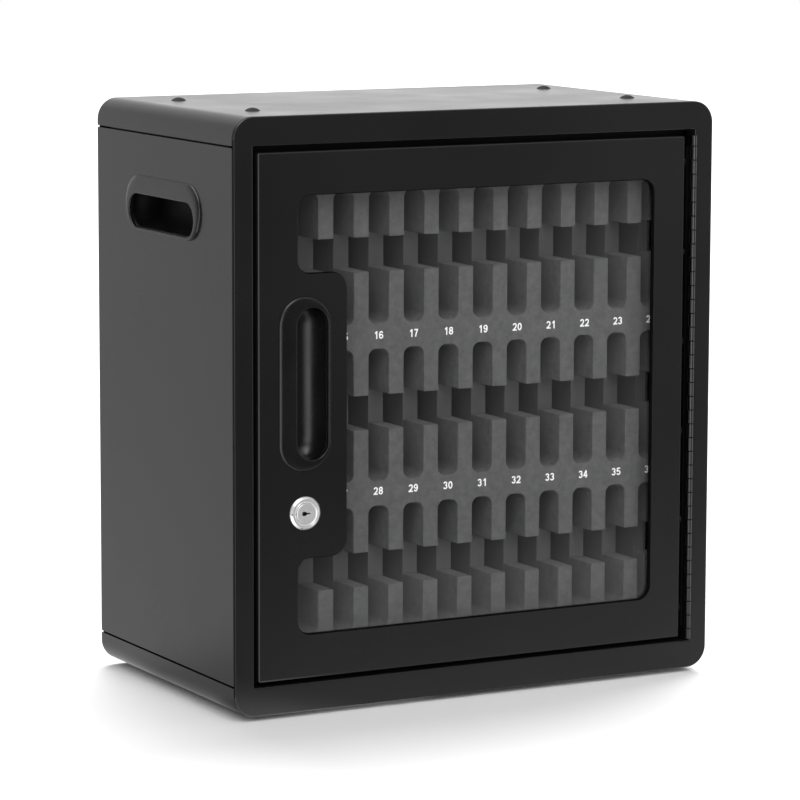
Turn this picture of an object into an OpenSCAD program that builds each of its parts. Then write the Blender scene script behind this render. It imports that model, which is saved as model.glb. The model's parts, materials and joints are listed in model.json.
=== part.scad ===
// Wall or desk cabinet with a glazed door and a foam block of 36 phone slots in three rows.
// Millimetres. +Z is up, +X is the hinge side, -Y is the front.
// The origin lies on the floor, under the centre of the cabinet.

/* [Cabinet] */
// Overall width across the side panels
body_w = 400; // [380:1:460]
// Overall height of the cabinet without its feet
body_h = 431.5; // [410:0.5:490]
// Overall depth from the front frame to the rear edge
body_d = 233; // [225:1:300]
// Thickness of the sheet steel
sheet_t = 1.5; // [1.2:0.1:1.6]
// Outer radius of the cover bends and of the frame corners
cover_r = 16; // [12:1:18]
// Height of the top cover at the side, down to the seam
skirt_top = 20.4; // [19:0.1:24]
// Height of the bottom cover at the side, up to the seam
skirt_bottom = 21.8; // [19:0.1:24]
// Width of the seam between the covers and the side panels
seam = 1; // [0.6:0.1:1.4]
// Gap between the front frame and the parts behind it
frame_seam = 1.2; // [0.6:0.1:1.6]
// Height of the rubber feet
foot_h = 4; // [2:0.5:8]
// Radius of the rubber feet
foot_r = 8; // [6:0.5:11]
// Radius of the wall screw holes in the rear panel
wall_hole_r = 4; // [2.5:0.5:5]

/* [Front frame] */
// Width of the frame beside the door
frame_side = 15.5; // [15.5:0.1:18]
// Width of the frame above and below the door
frame_top = 21; // [20:0.5:24]
// Depth of the frame's inner flange at the sides
flange_side = 12.5; // [12:0.1:12.6]

/* [Door] */
// Gap between the door and the frame at the lock side
gap_left = 3.4; // [2.5:0.1:4.5]
// Gap at the hinge side, which holds the hinge barrel
gap_right = 8.3; // [8:0.1:9]
// Gap above the door
gap_top = 4.6; // [3:0.1:6]
// Gap below the door
gap_bottom = 3.1; // [2.5:0.1:5]
// Depth of the folded door edge
door_d = 12; // [11.8:0.1:12.2]
// Outer radius of the folded door edge
door_r = 2; // [1.6:0.1:2.4]

/* [Window] */
// Distance from the side of the cabinet to the window opening
window_side = 50.5; // [50:0.5:56]
// Distance from the top of the cabinet to the window opening
window_top = 56.6; // [56:0.1:64]
// Distance from the underside of the cabinet to the window opening
window_bottom = 55.9; // [55:0.1:64]
// Corner radius of the window opening
window_r = 10.5; // [8:0.5:12]
// Reach of the solid tongue from the window's left edge
tongue_w = 39.7; // [38:0.1:41]
// Height of the solid tongue that carries the handle and the lock
tongue_h = 205; // [200:1:215]
// Overlap of the pane behind the door sheet
pane_lap = 10; // [8:0.5:10]
// Thickness of the clear pane
pane_t = 3; // [2:0.5:3]
// Thickness of the seal between the door sheet and the pane
gasket_t = 2.5; // [2:0.1:2.6]

/* [Handles] */
// Length of a handle flange
grip_len = 126.3; // [122:0.1:130]
// Width of a handle flange
grip_w = 41.3; // [41:0.1:43]
// Height of a handle flange over the panel
grip_h = 2.5; // [2:0.1:3]
// Width of the finger opening
mouth_w = 25; // [22:0.5:25]
// Length of the finger opening
mouth_len = 110; // [100:1:112]
// Shift of the finger opening from the centre of the flange
mouth_shift = 5.6; // [5:0.1:5.6]
// Inner radius and depth of the finger cup
cup_r = 17; // [16:0.1:17]
// Distance from the left side of the cabinet to the middle of the door handle
handle_in = 56.1; // [55:0.1:57]
// Height of the door handle's centre above the window's centre
handle_up = 23.6; // [15:0.1:30]
// Distance from the top of the cabinet down to the side handles
side_grip_drop = 73; // [69:0.5:90]

/* [Lock] */
// Distance from the window's centre down to the lock
lock_down = 69.9; // [65:0.1:75]
// Radius of the lock's visible flange
lock_flange_r = 12.2; // [11:0.1:13]
// Radius of the lock barrel behind the door sheet
lock_body_r = 9.5; // [9:0.1:10]
// Radius of the turning plug
plug_r = 7.6; // [7:0.1:7.8]
// Reach of the cam from the lock's axis
cam_len = 47; // [45:0.5:49]

/* [Hinge] */
// Radius of the hinge barrel
knuckle_r = 1.8; // [1.7:0.1:1.9]
// Radius of the hinge pin
pin_r = 0.9; // [0.8:0.05:1]
// Thickness of the hinge leaves
leaf_t = 1; // [0.8:0.1:1]
// Pitch of the hinge knuckles
knuckle_pitch = 10.5; // [10:0.1:11]

/* [Phone slots] */
// Width of a slot
slot_w = 16.6; // [14:0.1:17]
// Width left beside the first and the last slot's share of the frame opening
slot_margin = 10.5; // [10:0.1:13]
// Height of the lowest slots above the cabinet's underside
slots_bottom = 45; // [40:0.5:55]
// Distance from the top of the cabinet down to the highest slots
slots_top = 57.9; // [50:0.1:62]
// Height of foam between the slots of two rows
row_gap = 18.8; // [16:0.1:24]
// Extra height of the highest slots above the regular grid
top_row_more = 0; // [0:0.5:10]
// Height by which the lowest slots stop short of the regular grid
bottom_row_less = 5; // [0:0.5:8]
// Corner radius of a slot
slot_r = 6; // [4:0.5:7]
// Height of the finger channel across each row
channel_h = 25; // [20:0.5:28]
// Shift of the finger channel above the centre of its row
channel_up = 2.2; // [0:0.1:4]
// Depth of the finger channel
channel_d = 32; // [28:0.5:36]
// Depth of the slots from the foam's face
slot_d = 184; // [170:1:188]
// Distance of the foam's face behind the front of the cabinet
foam_front = 21; // [21:0.1:22]

/* [Hidden] */
round_fn = 40;
fit_gap = 0.1;
half_w = body_w / 2;
in_w = half_w - sheet_t;
base_z = foot_h;

barrel_proud = 0.2;
front_reach = 2 * knuckle_r + barrel_proud;
front_y = -(body_d - front_reach) / 2;

cover_d0 = sheet_t + frame_seam;
tab_reach_top = skirt_top + seam - cover_r - 0.4;
tab_reach_bottom = skirt_bottom + seam - cover_r - 0.4;
tab_lap = 8;
tab_d = 16;
rim_d = 13;
rim_in = 3 * cover_r - 3;

open_x = half_w - frame_side;
open_z0 = frame_top;
open_z1 = body_h - frame_top;
door_x0 = -open_x + gap_left;
door_x1 = open_x - gap_right;
door_z0 = open_z0 + gap_bottom;
door_z1 = open_z1 - gap_top;
lip_w = 5;

win_x0 = -half_w + window_side;
win_x1 = half_w - window_side;
win_z0 = window_bottom;
win_z1 = body_h - window_top;
window_z = (win_z0 + win_z1) / 2;
tongue_z0 = window_z - tongue_h / 2;
tongue_z1 = window_z + tongue_h / 2;
tongue_x = win_x0 + tongue_w;
tongue_r = window_r + 1.5;
pane_d0 = sheet_t + gasket_t;
pane_d1 = pane_d0 + pane_t;
gasket_in = 0.3;

handle_x = -half_w + handle_in;
handle_z = window_z + handle_up;
lock_z = window_z - lock_down;
grip_d = body_d / 2;
side_grip_z = body_h - side_grip_drop;
flange_round = 3.5;
flange_steps = 6;
cup_wall = 1.5;
cup_x = mouth_shift + mouth_w / 2 - cup_r - 0.15;
cup_out = cup_r + cup_wall;
cup_len = mouth_len + 5 - 2 * cup_r;
cut_r = cup_out + 0.2;
snap_w = 2.7;
snap_len = 10;
snap_in = 28;

axis_x = open_x - knuckle_r;
axis_d = -knuckle_r - barrel_proud;
barrel_low = 1.7;
barrel_high = 4.1;
barrel_z0 = open_z0 + barrel_low;
barrel_len = open_z1 - open_z0 - barrel_low - barrel_high;
knuckles = 2 * floor((barrel_len / knuckle_pitch - 1.4) / 2) + 1;
knuckle_end = (barrel_len - knuckles * knuckle_pitch) / 2;
knuckle_gap = 0.3;
pin_gap = 0.05;
pin_in = 0.3;
leaf_notch = axis_d + knuckle_r + 0.6;
leaf_rear = flange_side;
angle_x = axis_x - knuckle_r;
angle_lap = 9;
angle_d0 = 4;
angle_d1 = door_d + sheet_t;
angle_in = 8;
rivet_r = 1.6;
rivet_head_r = 3;
rivet_head_h = 1.2;
rivet_d = 8;
rivet_in = 24.7;
rivet_z = [for (i = [0:5]) open_z0 + rivet_in + i * (open_z1 - open_z0 - 2 * rivet_in) / 5];

pad_t = 2;
pad_w = 24;
pad_h = 4.5;
pad_in = 44;
stop_gap = 0.3;
stop_h = 8;
stop_half = open_x - 0.5;
stop_d0 = door_d + stop_gap + pad_t;

lock_face = 2.6;
lock_bevel = 1.6;
plug_proud = 0.3;
washer_r = 12.5;
washer_t = 0.8;
nut_r = 13.6;
nut_t = 4;
cam_gap = 1.9;
cam_d = door_d + cam_gap;
cam_t = 2;
cam_w = 14;
cam_boss_r = 9;
cam_rest = 15;
tail_w = 8;
key_w = 8.4;
key_h = 1.6;
key_d = 6.5;
screw_r = 2;
screw_head_r = 6;
screw_head_h = 2.2;
screw_slot_w = 1.2;

slot_count = 12;
slot_pitch = 2 * (open_x - slot_margin) / slot_count;
slot_h = (body_h - slots_bottom - slots_top - 2 * row_gap) / 3;
row_pitch = slot_h + row_gap;
slot_x = [for (i = [0:slot_count - 1]) (i - (slot_count - 1) / 2) * slot_pitch];
rows = [for (i = [0:2]) slots_bottom + slot_h / 2 + i * row_pitch];
slot_z0 = [for (i = [0:2]) rows[i] - slot_h / 2 + (i == 0 ? bottom_row_less : 0)];
slot_z1 = [for (i = [0:2]) rows[i] + slot_h / 2 + (i == 2 ? top_row_more : 0)];
foam_side = 0.5;
foam_step = 8;
foam_w = 2 * (open_x - foam_side);
core_w = foam_w - 2 * foam_step;
foam_z0 = sheet_t;
foam_z1 = body_h - sheet_t - 6;
comb_d1 = foam_front + channel_d;
slot_d1 = foam_front + slot_d;

plug_in = 42;
plug_h = 2.3;
plug_dome_r = 8.2;
plug_rim_r = 5.7;
plug_stem = 2;
plug_d_in = 54.5;
plug_hole_r = 4;
foot_in = 50;
foot_bevel = 1;
foot_d_in = 44.5;
wall_hole_in = 50;
wall_hole_low = 60;
wall_hole_high = 61.5;

clip_reach = 5.5;
clip_w = 12;
clip_t = 1.2;
stud_r = 2;
clip_x = win_x1 - 59.5;
clip_side_in = 64.5;
clip_out = pane_lap + clip_reach;
// Each window clip as [x, height above the underside, direction in which it points away from the window]
clips = [
    [clip_x, win_z1 + clip_out, 90],
    [-clip_x, win_z1 + clip_out, 90],
    [clip_x, win_z0 - clip_out, -90],
    [-clip_x, win_z0 - clip_out, -90],
    [win_x1 + clip_out, win_z0 + clip_side_in, 0],
    [win_x1 + clip_out, win_z1 - clip_side_in, 0],
    [win_x0 - clip_out, (win_z0 + tongue_z0) / 2, 180],
    [win_x0 - clip_out, (win_z1 + tongue_z1) / 2, 180]
];

// Positions below are x, depth behind the front of the cabinet, and height above its underside.
module at(x, d, z) {
    translate([x, front_y + d, base_z + z]) children();
}

module block(x0, x1, d0, d1, z0, z1) {
    at(x0, d0, z0) cube([x1 - x0, d1 - d0, z1 - z0]);
}

module rod_in(x, z, d0, d1, r, fn = round_fn) {
    at(x, d0, z) rotate([-90, 0, 0]) cylinder(r = r, h = d1 - d0, $fn = fn);
}

module rod_across(x0, x1, d, z, r, fn = round_fn) {
    at(x0, d, z) rotate([0, 90, 0]) cylinder(r = r, h = x1 - x0, $fn = fn);
}

// Slab whose four corners are round as seen from the front
module slab(x0, x1, d0, d1, z0, z1, r) {
    block(x0 + r, x1 - r, d0, d1, z0, z1);
    block(x0, x1, d0, d1, z0 + r, z1 - r);
    for (x = [x0 + r, x1 - r], z = [z0 + r, z1 - r])
        rod_in(x, z, d0, d1, r);
}

module front_frame() {
    color([0.03, 0.03, 0.032])
    difference() {
        union() {
            difference() {
                slab(-half_w, half_w, 0, sheet_t, 0, body_h, cover_r);
                block(-open_x, open_x, -1, sheet_t + 1, open_z0, open_z1);
            }
            for (s = [-1, 1]) {
                block(min(s * open_x, s * (open_x + sheet_t)), max(s * open_x, s * (open_x + sheet_t)),
                    0, flange_side, open_z0 - sheet_t, open_z1 + sheet_t);
                block(min(s * in_w, s * (in_w - sheet_t)), max(s * in_w, s * (in_w - sheet_t)),
                    0, rim_d, rim_in, body_h - rim_in);
            }
            for (z = [open_z0 - sheet_t, open_z1])
                block(-open_x - sheet_t, open_x + sheet_t, 0, foam_front, z, z + sheet_t);
            for (z = [sheet_t, body_h - 2 * sheet_t])
                block(-half_w + rim_in, half_w - rim_in, 0, rim_d, z, z + sheet_t);
        }
        for (z = rivet_z)
            rod_across(open_x - 1, open_x + sheet_t + 1, rivet_d, z, rivet_r + fit_gap / 2, 24);
    }
}

module cover_shell(z0, z1, clip0, clip1) {
    intersection() {
        difference() {
            slab(-half_w, half_w, cover_d0, body_d, z0, z1, cover_r);
            slab(-in_w, in_w, cover_d0 - 1, body_d + 1, z0 + sheet_t, z1 - sheet_t, cover_r - sheet_t);
        }
        block(-half_w - 1, half_w + 1, cover_d0 - 1, body_d + 1, clip0, clip1);
    }
}

plug_spots = [for (s = [-1, 1], d = [plug_d_in, body_d - plug_d_in]) [s * (half_w - plug_in), d]];
foot_spots = [for (s = [-1, 1], d = [foot_d_in, body_d - foot_d_in]) [s * (half_w - foot_in), d]];

module top_cover() {
    color([0.03, 0.03, 0.032])
    difference() {
        cover_shell(0, body_h, body_h - skirt_top, body_h + 1);
        for (p = plug_spots)
            at(p[0], p[1], body_h - 2 * sheet_t) cylinder(r = plug_hole_r, h = 4 * sheet_t, $fn = 32);
    }
}

module bottom_cover() {
    color([0.03, 0.03, 0.032])
    cover_shell(0, body_h, -1, skirt_bottom);
}

module grip_cutout() {
    rotate([-90, 0, 0]) {
        for (s = [-1, 1])
            translate([cup_x, s * cup_len / 2, -1]) cylinder(r = cut_r, h = sheet_t + 2, $fn = round_fn);
        translate([cup_x - cut_r, -cup_len / 2, -1]) cube([2 * cut_r, cup_len, sheet_t + 2]);
    }
}

module to_side(s) {
    // turns a handle drawn for the door so that it lies along a side panel with its hood on top
    translate([s * half_w, front_y + grip_d, base_z + side_grip_z])
        multmatrix(s < 0
            ? [[0, 1, 0, 0], [0, 0, -1, 0], [-1, 0, 0, 0], [0, 0, 0, 1]]
            : [[0, -1, 0, 0], [0, 0, 1, 0], [-1, 0, 0, 0], [0, 0, 0, 1]])
        children();
}

module side_panel(s) {
    x0 = s > 0 ? in_w : -half_w;
    b0 = s > 0 ? in_w - sheet_t : -in_w;
    z0 = skirt_bottom + seam;
    z1 = body_h - skirt_top - seam;
    color([0.03, 0.03, 0.032])
    difference() {
        union() {
            block(x0, x0 + sheet_t, cover_d0, body_d, z0, z1);
            block(b0, b0 + sheet_t, tab_d, body_d - tab_d, z0 - tab_reach_bottom, z0 + tab_lap);
            block(b0, b0 + sheet_t, tab_d, body_d - tab_d, z1 - tab_lap, z1 + tab_reach_top);
        }
        to_side(s) grip_cutout();
    }
}

module left_side_panel() {
    side_panel(-1);
}

module right_side_panel() {
    side_panel(1);
}

module rear_panel() {
    color([0.03, 0.03, 0.032])
    difference() {
        union() {
            slab(-in_w, in_w, body_d - sheet_t, body_d, sheet_t, body_h - sheet_t, cover_r - sheet_t);
            for (s = [-1, 1])
                block(min(s * in_w, s * (in_w - sheet_t)), max(s * in_w, s * (in_w - sheet_t)),
                    body_d - rim_d, body_d, rim_in, body_h - rim_in);
            block(-half_w + rim_in, half_w - rim_in, body_d - rim_d, body_d,
                body_h - 2 * sheet_t, body_h - sheet_t);
        }
        for (s = [-1, 1], z = [wall_hole_low, body_h - wall_hole_high])
            rod_in(s * (half_w - wall_hole_in), z, body_d - 2 * sheet_t, body_d + 1, wall_hole_r);
    }
}

// Rounded outer edge of a handle flange, as [distance from the centre line, height over the panel]
flange_edge = [
    for (i = [0:flange_steps])
        [grip_w / 2 - flange_round * (1 - sin(i * 90 / flange_steps)), grip_h * cos(i * 90 / flange_steps)]
];

module grip_flange() {
    straight = grip_len - grip_w;
    for (s = [0, 1])
        translate([0, 0, (s - 0.5) * straight]) rotate([90, 0, 0]) rotate([0, 0, 180 - s * 180])
            rotate_extrude(angle = 180, $fn = 60)
                polygon(concat([[0, 0], [0, grip_h]], flange_edge));
    translate([0, 0, -straight / 2])
        linear_extrude(straight)
        polygon(concat(
            [for (i = [0:flange_steps]) [flange_edge[i][0], -flange_edge[i][1]]],
            [for (i = [flange_steps:-1:0]) [-flange_edge[i][0], -flange_edge[i][1]]]
        ));
}

module grip_capsule(r, y0) {
    intersection() {
        translate([cup_x, 0, 0]) {
            cylinder(r = r, h = cup_len, center = true, $fn = 48);
            for (s = [-1, 1])
                translate([0, 0, s * cup_len / 2]) sphere(r = r, $fn = 48);
        }
        translate([cup_x - 2 * r, y0, -cup_len / 2 - 2 * r]) cube([4 * r, 2 * r, cup_len + 4 * r]);
    }
}

// Finger pull drawn for the door: face at y = 0, cup towards +y, hood on the -x side
module grip() {
    difference() {
        union() {
            grip_flange();
            grip_capsule(cup_out, -0.5);
            for (s = [-1, 1], z = [-snap_in, snap_in])
                translate([cup_x + s * (cup_out - 0.25) - snap_w / 2, sheet_t + fit_gap, z - snap_len / 2])
                    cube([snap_w, 2 * sheet_t, snap_len]);
        }
        grip_capsule(cup_r, 1);
        rotate([-90, 0, 0]) {
            for (s = [-1, 1])
                translate([mouth_shift, s * (mouth_len - mouth_w) / 2, -grip_h - 1])
                    cylinder(r = mouth_w / 2, h = grip_h + 1 + sheet_t, $fn = 48);
            translate([mouth_shift - mouth_w / 2, -(mouth_len - mouth_w) / 2, -grip_h - 1])
                cube([mouth_w, mouth_len - mouth_w, grip_h + 1 + sheet_t]);
        }
    }
}

module left_carry_handle() {
    color([0.02, 0.02, 0.02]) to_side(-1) grip();
}

module right_carry_handle() {
    color([0.02, 0.02, 0.02]) to_side(1) grip();
}

module door_handle() {
    color([0.02, 0.02, 0.02]) at(handle_x, 0, handle_z) grip();
}

module top_plugs() {
    stem_r = plug_hole_r - fit_gap;
    stem_z = -sheet_t - plug_stem;
    color([0.05, 0.05, 0.05])
    for (p = plug_spots)
        at(p[0], p[1], body_h) {
            intersection() {
                translate([0, 0, plug_h - plug_dome_r]) sphere(r = plug_dome_r, $fn = 48);
                cylinder(r = plug_rim_r, h = plug_h + 1, $fn = 48);
            }
            translate([0, 0, stem_z]) cylinder(r = stem_r, h = fit_gap - stem_z, $fn = 32);
            translate([0, 0, stem_z])
                cylinder(r1 = stem_r, r2 = plug_hole_r + 0.6, h = plug_stem - fit_gap, $fn = 32);
        }
}

module rubber_feet() {
    color([0.05, 0.05, 0.05])
    for (p = foot_spots)
        at(p[0], p[1], -foot_h) {
            cylinder(r1 = foot_r - foot_bevel, r2 = foot_r, h = foot_bevel, $fn = 48);
            translate([0, 0, foot_bevel]) cylinder(r = foot_r, h = foot_h - foot_bevel, $fn = 48);
        }
}

module upper_door_stop() {
    color([0.03, 0.03, 0.032]) {
        block(-stop_half, stop_half, stop_d0, stop_d0 + sheet_t, open_z1 - stop_h, open_z1);
        block(-stop_half, stop_half, stop_d0, foam_front - 1, open_z1 - sheet_t, open_z1);
    }
}

module lower_door_stop() {
    color([0.03, 0.03, 0.032]) {
        block(-stop_half, stop_half, stop_d0, stop_d0 + sheet_t, open_z0, open_z0 + stop_h);
        block(-stop_half, stop_half, stop_d0, foam_front - 1, open_z0, open_z0 + sheet_t);
    }
}

module door_stop_pads() {
    color([0.06, 0.06, 0.06])
    for (x = [-stop_half + pad_in, stop_half - pad_in - pad_w],
         z = [open_z0 + stop_h - pad_h - 0.5, open_z1 - stop_h + 0.5])
        block(x, x + pad_w, stop_d0 - pad_t, stop_d0, z, z + pad_h);
}

// Outline of the slots of one row, cut through a slab of foam
module slot_cut(i, d0, d1) {
    for (x = slot_x)
        slab(x - slot_w / 2, x + slot_w / 2, d0, d1, slot_z0[i], slot_z1[i], slot_r);
}

module comb(z0, z1, cut_rows) {
    color([0.09, 0.09, 0.095])
    difference() {
        block(-foam_w / 2, foam_w / 2, foam_front, comb_d1, z0, z1);
        for (i = cut_rows)
            slot_cut(i, foam_front - 1, comb_d1 + 1);
    }
}

function channel_low(i) = rows[i] + channel_up - channel_h / 2;
function channel_high(i) = rows[i] + channel_up + channel_h / 2;

module foam_comb_top() {
    comb(channel_high(2), foam_z1, [2]);
}

module foam_comb_upper() {
    comb(channel_high(1), channel_low(2), [1, 2]);
}

module foam_comb_lower() {
    comb(channel_high(0), channel_low(1), [0, 1]);
}

module foam_comb_bottom() {
    comb(foam_z0, channel_low(0), [0]);
}

module dividers(i) {
    edges = concat([-core_w / 2], [for (x = slot_x) each [x - slot_w / 2, x + slot_w / 2]], [core_w / 2]);
    color([0.075, 0.075, 0.08])
    for (k = [0:slot_count])
        block(edges[2 * k], edges[2 * k + 1], comb_d1, slot_d1, slot_z0[i], slot_z1[i]);
}

module foam_dividers_top_row() {
    dividers(2);
}

module foam_dividers_middle_row() {
    dividers(1);
}

module foam_dividers_bottom_row() {
    dividers(0);
}

module foam_shelves() {
    edges = concat([foam_z0], [for (i = [0:2]) each [slot_z0[i], slot_z1[i]]], [foam_z1]);
    color([0.08, 0.08, 0.085])
    for (i = [0:3])
        block(-core_w / 2, core_w / 2, comb_d1, slot_d1, edges[2 * i], edges[2 * i + 1]);
}

module foam_backing() {
    color([0.07, 0.07, 0.075])
    block(-core_w / 2, core_w / 2, slot_d1, body_d - sheet_t, foam_z0, foam_z1);
}

function knuckle_z(i) = i == 0 ? barrel_z0 : barrel_z0 + knuckle_end + (i - 1) * knuckle_pitch;
function knuckle_len(i) = (i == 0 || i == knuckles + 1) ? knuckle_end : knuckle_pitch;

// Hinge leaf: a plate with the knuckles of one parity rolled round the pin
module leaf(parity, x0, x1, z0, z1) {
    difference() {
        union() {
            block(x0, x1, leaf_notch, leaf_rear, z0, z1);
            for (i = [0:knuckles + 1])
                if (i % 2 == parity) {
                    zk = knuckle_z(i) + knuckle_gap / 2;
                    hk = knuckle_len(i) - knuckle_gap;
                    at(axis_x, axis_d, zk) cylinder(r = knuckle_r, h = hk, $fn = 32);
                    block(x0, x1, axis_d, leaf_notch + leaf_t / 2, zk, zk + hk);
                }
        }
        at(axis_x, axis_d, barrel_z0 - 1) cylinder(r = pin_r + pin_gap, h = barrel_len + 2, $fn = 24);
        for (z = rivet_z)
            rod_across(x0 - 1, x1 + 1, rivet_d, z, rivet_r + fit_gap / 2, 24);
    }
}

module hinge_frame_leaf() {
    color([0.05, 0.05, 0.052])
    leaf(1, axis_x + knuckle_r - leaf_t, axis_x + knuckle_r,
        knuckle_z(1), knuckle_z(knuckles) + knuckle_pitch);
}

module hinge_door_leaf() {
    color([0.05, 0.05, 0.052])
    leaf(0, axis_x - knuckle_r, axis_x - knuckle_r + leaf_t, barrel_z0, barrel_z0 + barrel_len);
}

module hinge_pin() {
    color([0.3, 0.3, 0.31])
    at(axis_x, axis_d, barrel_z0 + pin_in) cylinder(r = pin_r, h = barrel_len - 2 * pin_in, $fn = 24);
}

module hinge_frame_rivets() {
    color([0.1, 0.1, 0.1])
    for (z = rivet_z) {
        rod_across(open_x - leaf_t, open_x + sheet_t + fit_gap, rivet_d, z, rivet_r, 24);
        rod_across(open_x + sheet_t, open_x + sheet_t + rivet_head_h, rivet_d, z, rivet_head_r, 24);
    }
}

module hinge_door_rivets() {
    color([0.1, 0.1, 0.1])
    for (z = rivet_z) {
        rod_across(angle_x - sheet_t - fit_gap, angle_x + leaf_t, rivet_d, z, rivet_r, 24);
        rod_across(angle_x - sheet_t - rivet_head_h, angle_x - sheet_t, rivet_d, z, rivet_head_r, 24);
    }
}

// Window outline grown by g; the tongue shrinks by the same amount
module window_shape(g, d0, d1) {
    rt = max(tongue_r - g, 1);
    rf = window_r + g;
    tx = tongue_x - g;
    ta = tongue_z0 + g;
    tb = tongue_z1 - g;
    difference() {
        slab(win_x0 - g, win_x1 + g, d0, d1, win_z0 - g, win_z1 + g, window_r + g);
        slab(win_x0 - g - 2 * rf, tx, d0 - 1, d1 + 1, ta, tb, rt);
        difference() {
            block(win_x0 - g - 1, win_x0 - g + rf, d0 - 1, d1 + 1, ta - rf, tb + rf);
            for (z = [ta - rf, tb + rf])
                rod_in(win_x0 - g + rf, z, d0 - 2, d1 + 2, rf);
        }
    }
}

module door_shell_outer() {
    slab(door_x0, door_x1, door_r, door_d, door_z0, door_z1, door_r);
    block(door_x0 + door_r, door_x1 - door_r, 0, door_r, door_z0 + door_r, door_z1 - door_r);
    for (x = [door_x0 + door_r, door_x1 - door_r])
        at(x, door_r, door_z0 + door_r) cylinder(r = door_r, h = door_z1 - door_z0 - 2 * door_r, $fn = 32);
    for (z = [door_z0 + door_r, door_z1 - door_r])
        rod_across(door_x0 + door_r, door_x1 - door_r, door_r, z, door_r, 32);
    for (x = [door_x0 + door_r, door_x1 - door_r], z = [door_z0 + door_r, door_z1 - door_r])
        at(x, door_r, z) sphere(r = door_r, $fn = 32);
}

module door_panel() {
    color([0.03, 0.03, 0.032])
    difference() {
        door_shell_outer();
        block(door_x0 + sheet_t, door_x1 - sheet_t, sheet_t, door_d - sheet_t,
            door_z0 + sheet_t, door_z1 - sheet_t);
        block(door_x0 + sheet_t + lip_w, door_x1 - sheet_t - lip_w, door_d - sheet_t - 1, door_d + 1,
            door_z0 + sheet_t + lip_w, door_z1 - sheet_t - lip_w);
        window_shape(0, -1, sheet_t + 1);
        at(handle_x, 0, handle_z) grip_cutout();
        rod_in(handle_x, lock_z, -1, sheet_t + 1, lock_body_r + fit_gap);
    }
}

module door_hinge_angle() {
    color([0.03, 0.03, 0.032])
    difference() {
        union() {
            block(door_x1 - sheet_t - angle_lap, angle_x, door_d, angle_d1,
                door_z0 + angle_in, door_z1 - angle_in);
            block(angle_x - sheet_t, angle_x, angle_d0, angle_d1, door_z0 + angle_in, door_z1 - angle_in);
        }
        for (z = rivet_z)
            rod_across(angle_x - sheet_t - 1, angle_x + 1, rivet_d, z, rivet_r + fit_gap / 2, 24);
    }
}

module window_gasket() {
    color([0.04, 0.04, 0.04])
    difference() {
        window_shape(pane_lap - 1, sheet_t, pane_d0);
        window_shape(gasket_in, sheet_t - 1, pane_d0 + 1);
    }
}

module door_window() {
    color([0.75, 0.8, 0.82, 0.3])
    window_shape(pane_lap, pane_d0, pane_d1);
}

module window_clips() {
    color([0.35, 0.35, 0.36])
    for (c = clips)
        at(c[0], 0, c[1]) rotate([0, -c[2], 0])
            difference() {
                union() {
                    translate([-clip_reach - 4, pane_d1, -clip_w / 2]) cube([clip_reach + 8, clip_t, clip_w]);
                    translate([4 - clip_t, sheet_t, -clip_w / 2])
                        cube([clip_t, pane_d1 - sheet_t + clip_t / 2, clip_w]);
                }
                rotate([-90, 0, 0]) cylinder(r = stud_r + 0.15, h = pane_d1 + 2 * clip_t, $fn = 24);
            }
}

module window_studs() {
    color([0.5, 0.5, 0.5])
    for (c = clips)
        rod_in(c[0], c[1], sheet_t, pane_d1 + 4.4, stud_r, 24);
}

module window_nuts() {
    color([0.6, 0.6, 0.6])
    for (c = clips)
        at(c[0], pane_d1 + clip_t, c[1]) rotate([-90, 0, 0])
            difference() {
                cylinder(r = 2 * stud_r, h = 2.6, $fn = 6);
                translate([0, 0, -1]) cylinder(r = stud_r + fit_gap / 2, h = 5, $fn = 24);
            }
}

module lock_housing() {
    color([0.8, 0.8, 0.82])
    difference() {
        union() {
            at(handle_x, -lock_face, lock_z) rotate([-90, 0, 0])
                cylinder(r1 = lock_flange_r - 1.4, r2 = lock_flange_r, h = lock_bevel, $fn = 64);
            rod_in(handle_x, lock_z, lock_bevel - lock_face, 0, lock_flange_r, 64);
            rod_in(handle_x, lock_z, -sheet_t / 3, cam_d - 0.6, lock_body_r, 48);
        }
        rod_in(handle_x, lock_z, -lock_face - 1, cam_d, plug_r + fit_gap / 2, 48);
    }
}

module lock_washer() {
    color([0.6, 0.6, 0.62])
    difference() {
        rod_in(handle_x, lock_z, sheet_t, sheet_t + washer_t, washer_r, 48);
        rod_in(handle_x, lock_z, 0, sheet_t + 2 * washer_t, lock_body_r + 0.15, 48);
    }
}

module lock_nut() {
    color([0.6, 0.6, 0.62])
    difference() {
        at(handle_x, sheet_t + washer_t, lock_z) rotate([-90, 0, 0]) cylinder(r = nut_r, h = nut_t, $fn = 6);
        rod_in(handle_x, lock_z, 0, 2 * sheet_t + washer_t + nut_t, lock_body_r + fit_gap / 2, 48);
    }
}

// Turns its children about the lock's axis to where the cam rests
module at_cam_rest() {
    axis = [handle_x, 0, base_z + lock_z];
    translate(axis) rotate([0, cam_rest, 0]) translate(-axis) children();
}

module lock_plug() {
    color([0.75, 0.75, 0.77])
    difference() {
        union() {
            rod_in(handle_x, lock_z, -lock_face - plug_proud, cam_d - 0.3, plug_r, 48);
            at_cam_rest()
                block(handle_x - tail_w / 2, handle_x + tail_w / 2, cam_d - 1, cam_d + cam_t,
                    lock_z - tail_w / 2, lock_z + tail_w / 2);
        }
        slab(handle_x - key_w / 2, handle_x + key_w / 2, -lock_face - 1, key_d - lock_face - 1,
            lock_z - key_h / 2, lock_z + key_h / 2, key_h / 2 - 0.1);
        rod_in(handle_x, lock_z, door_d / 2, cam_d + cam_t + 1, screw_r + fit_gap / 2, 24);
    }
}

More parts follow.
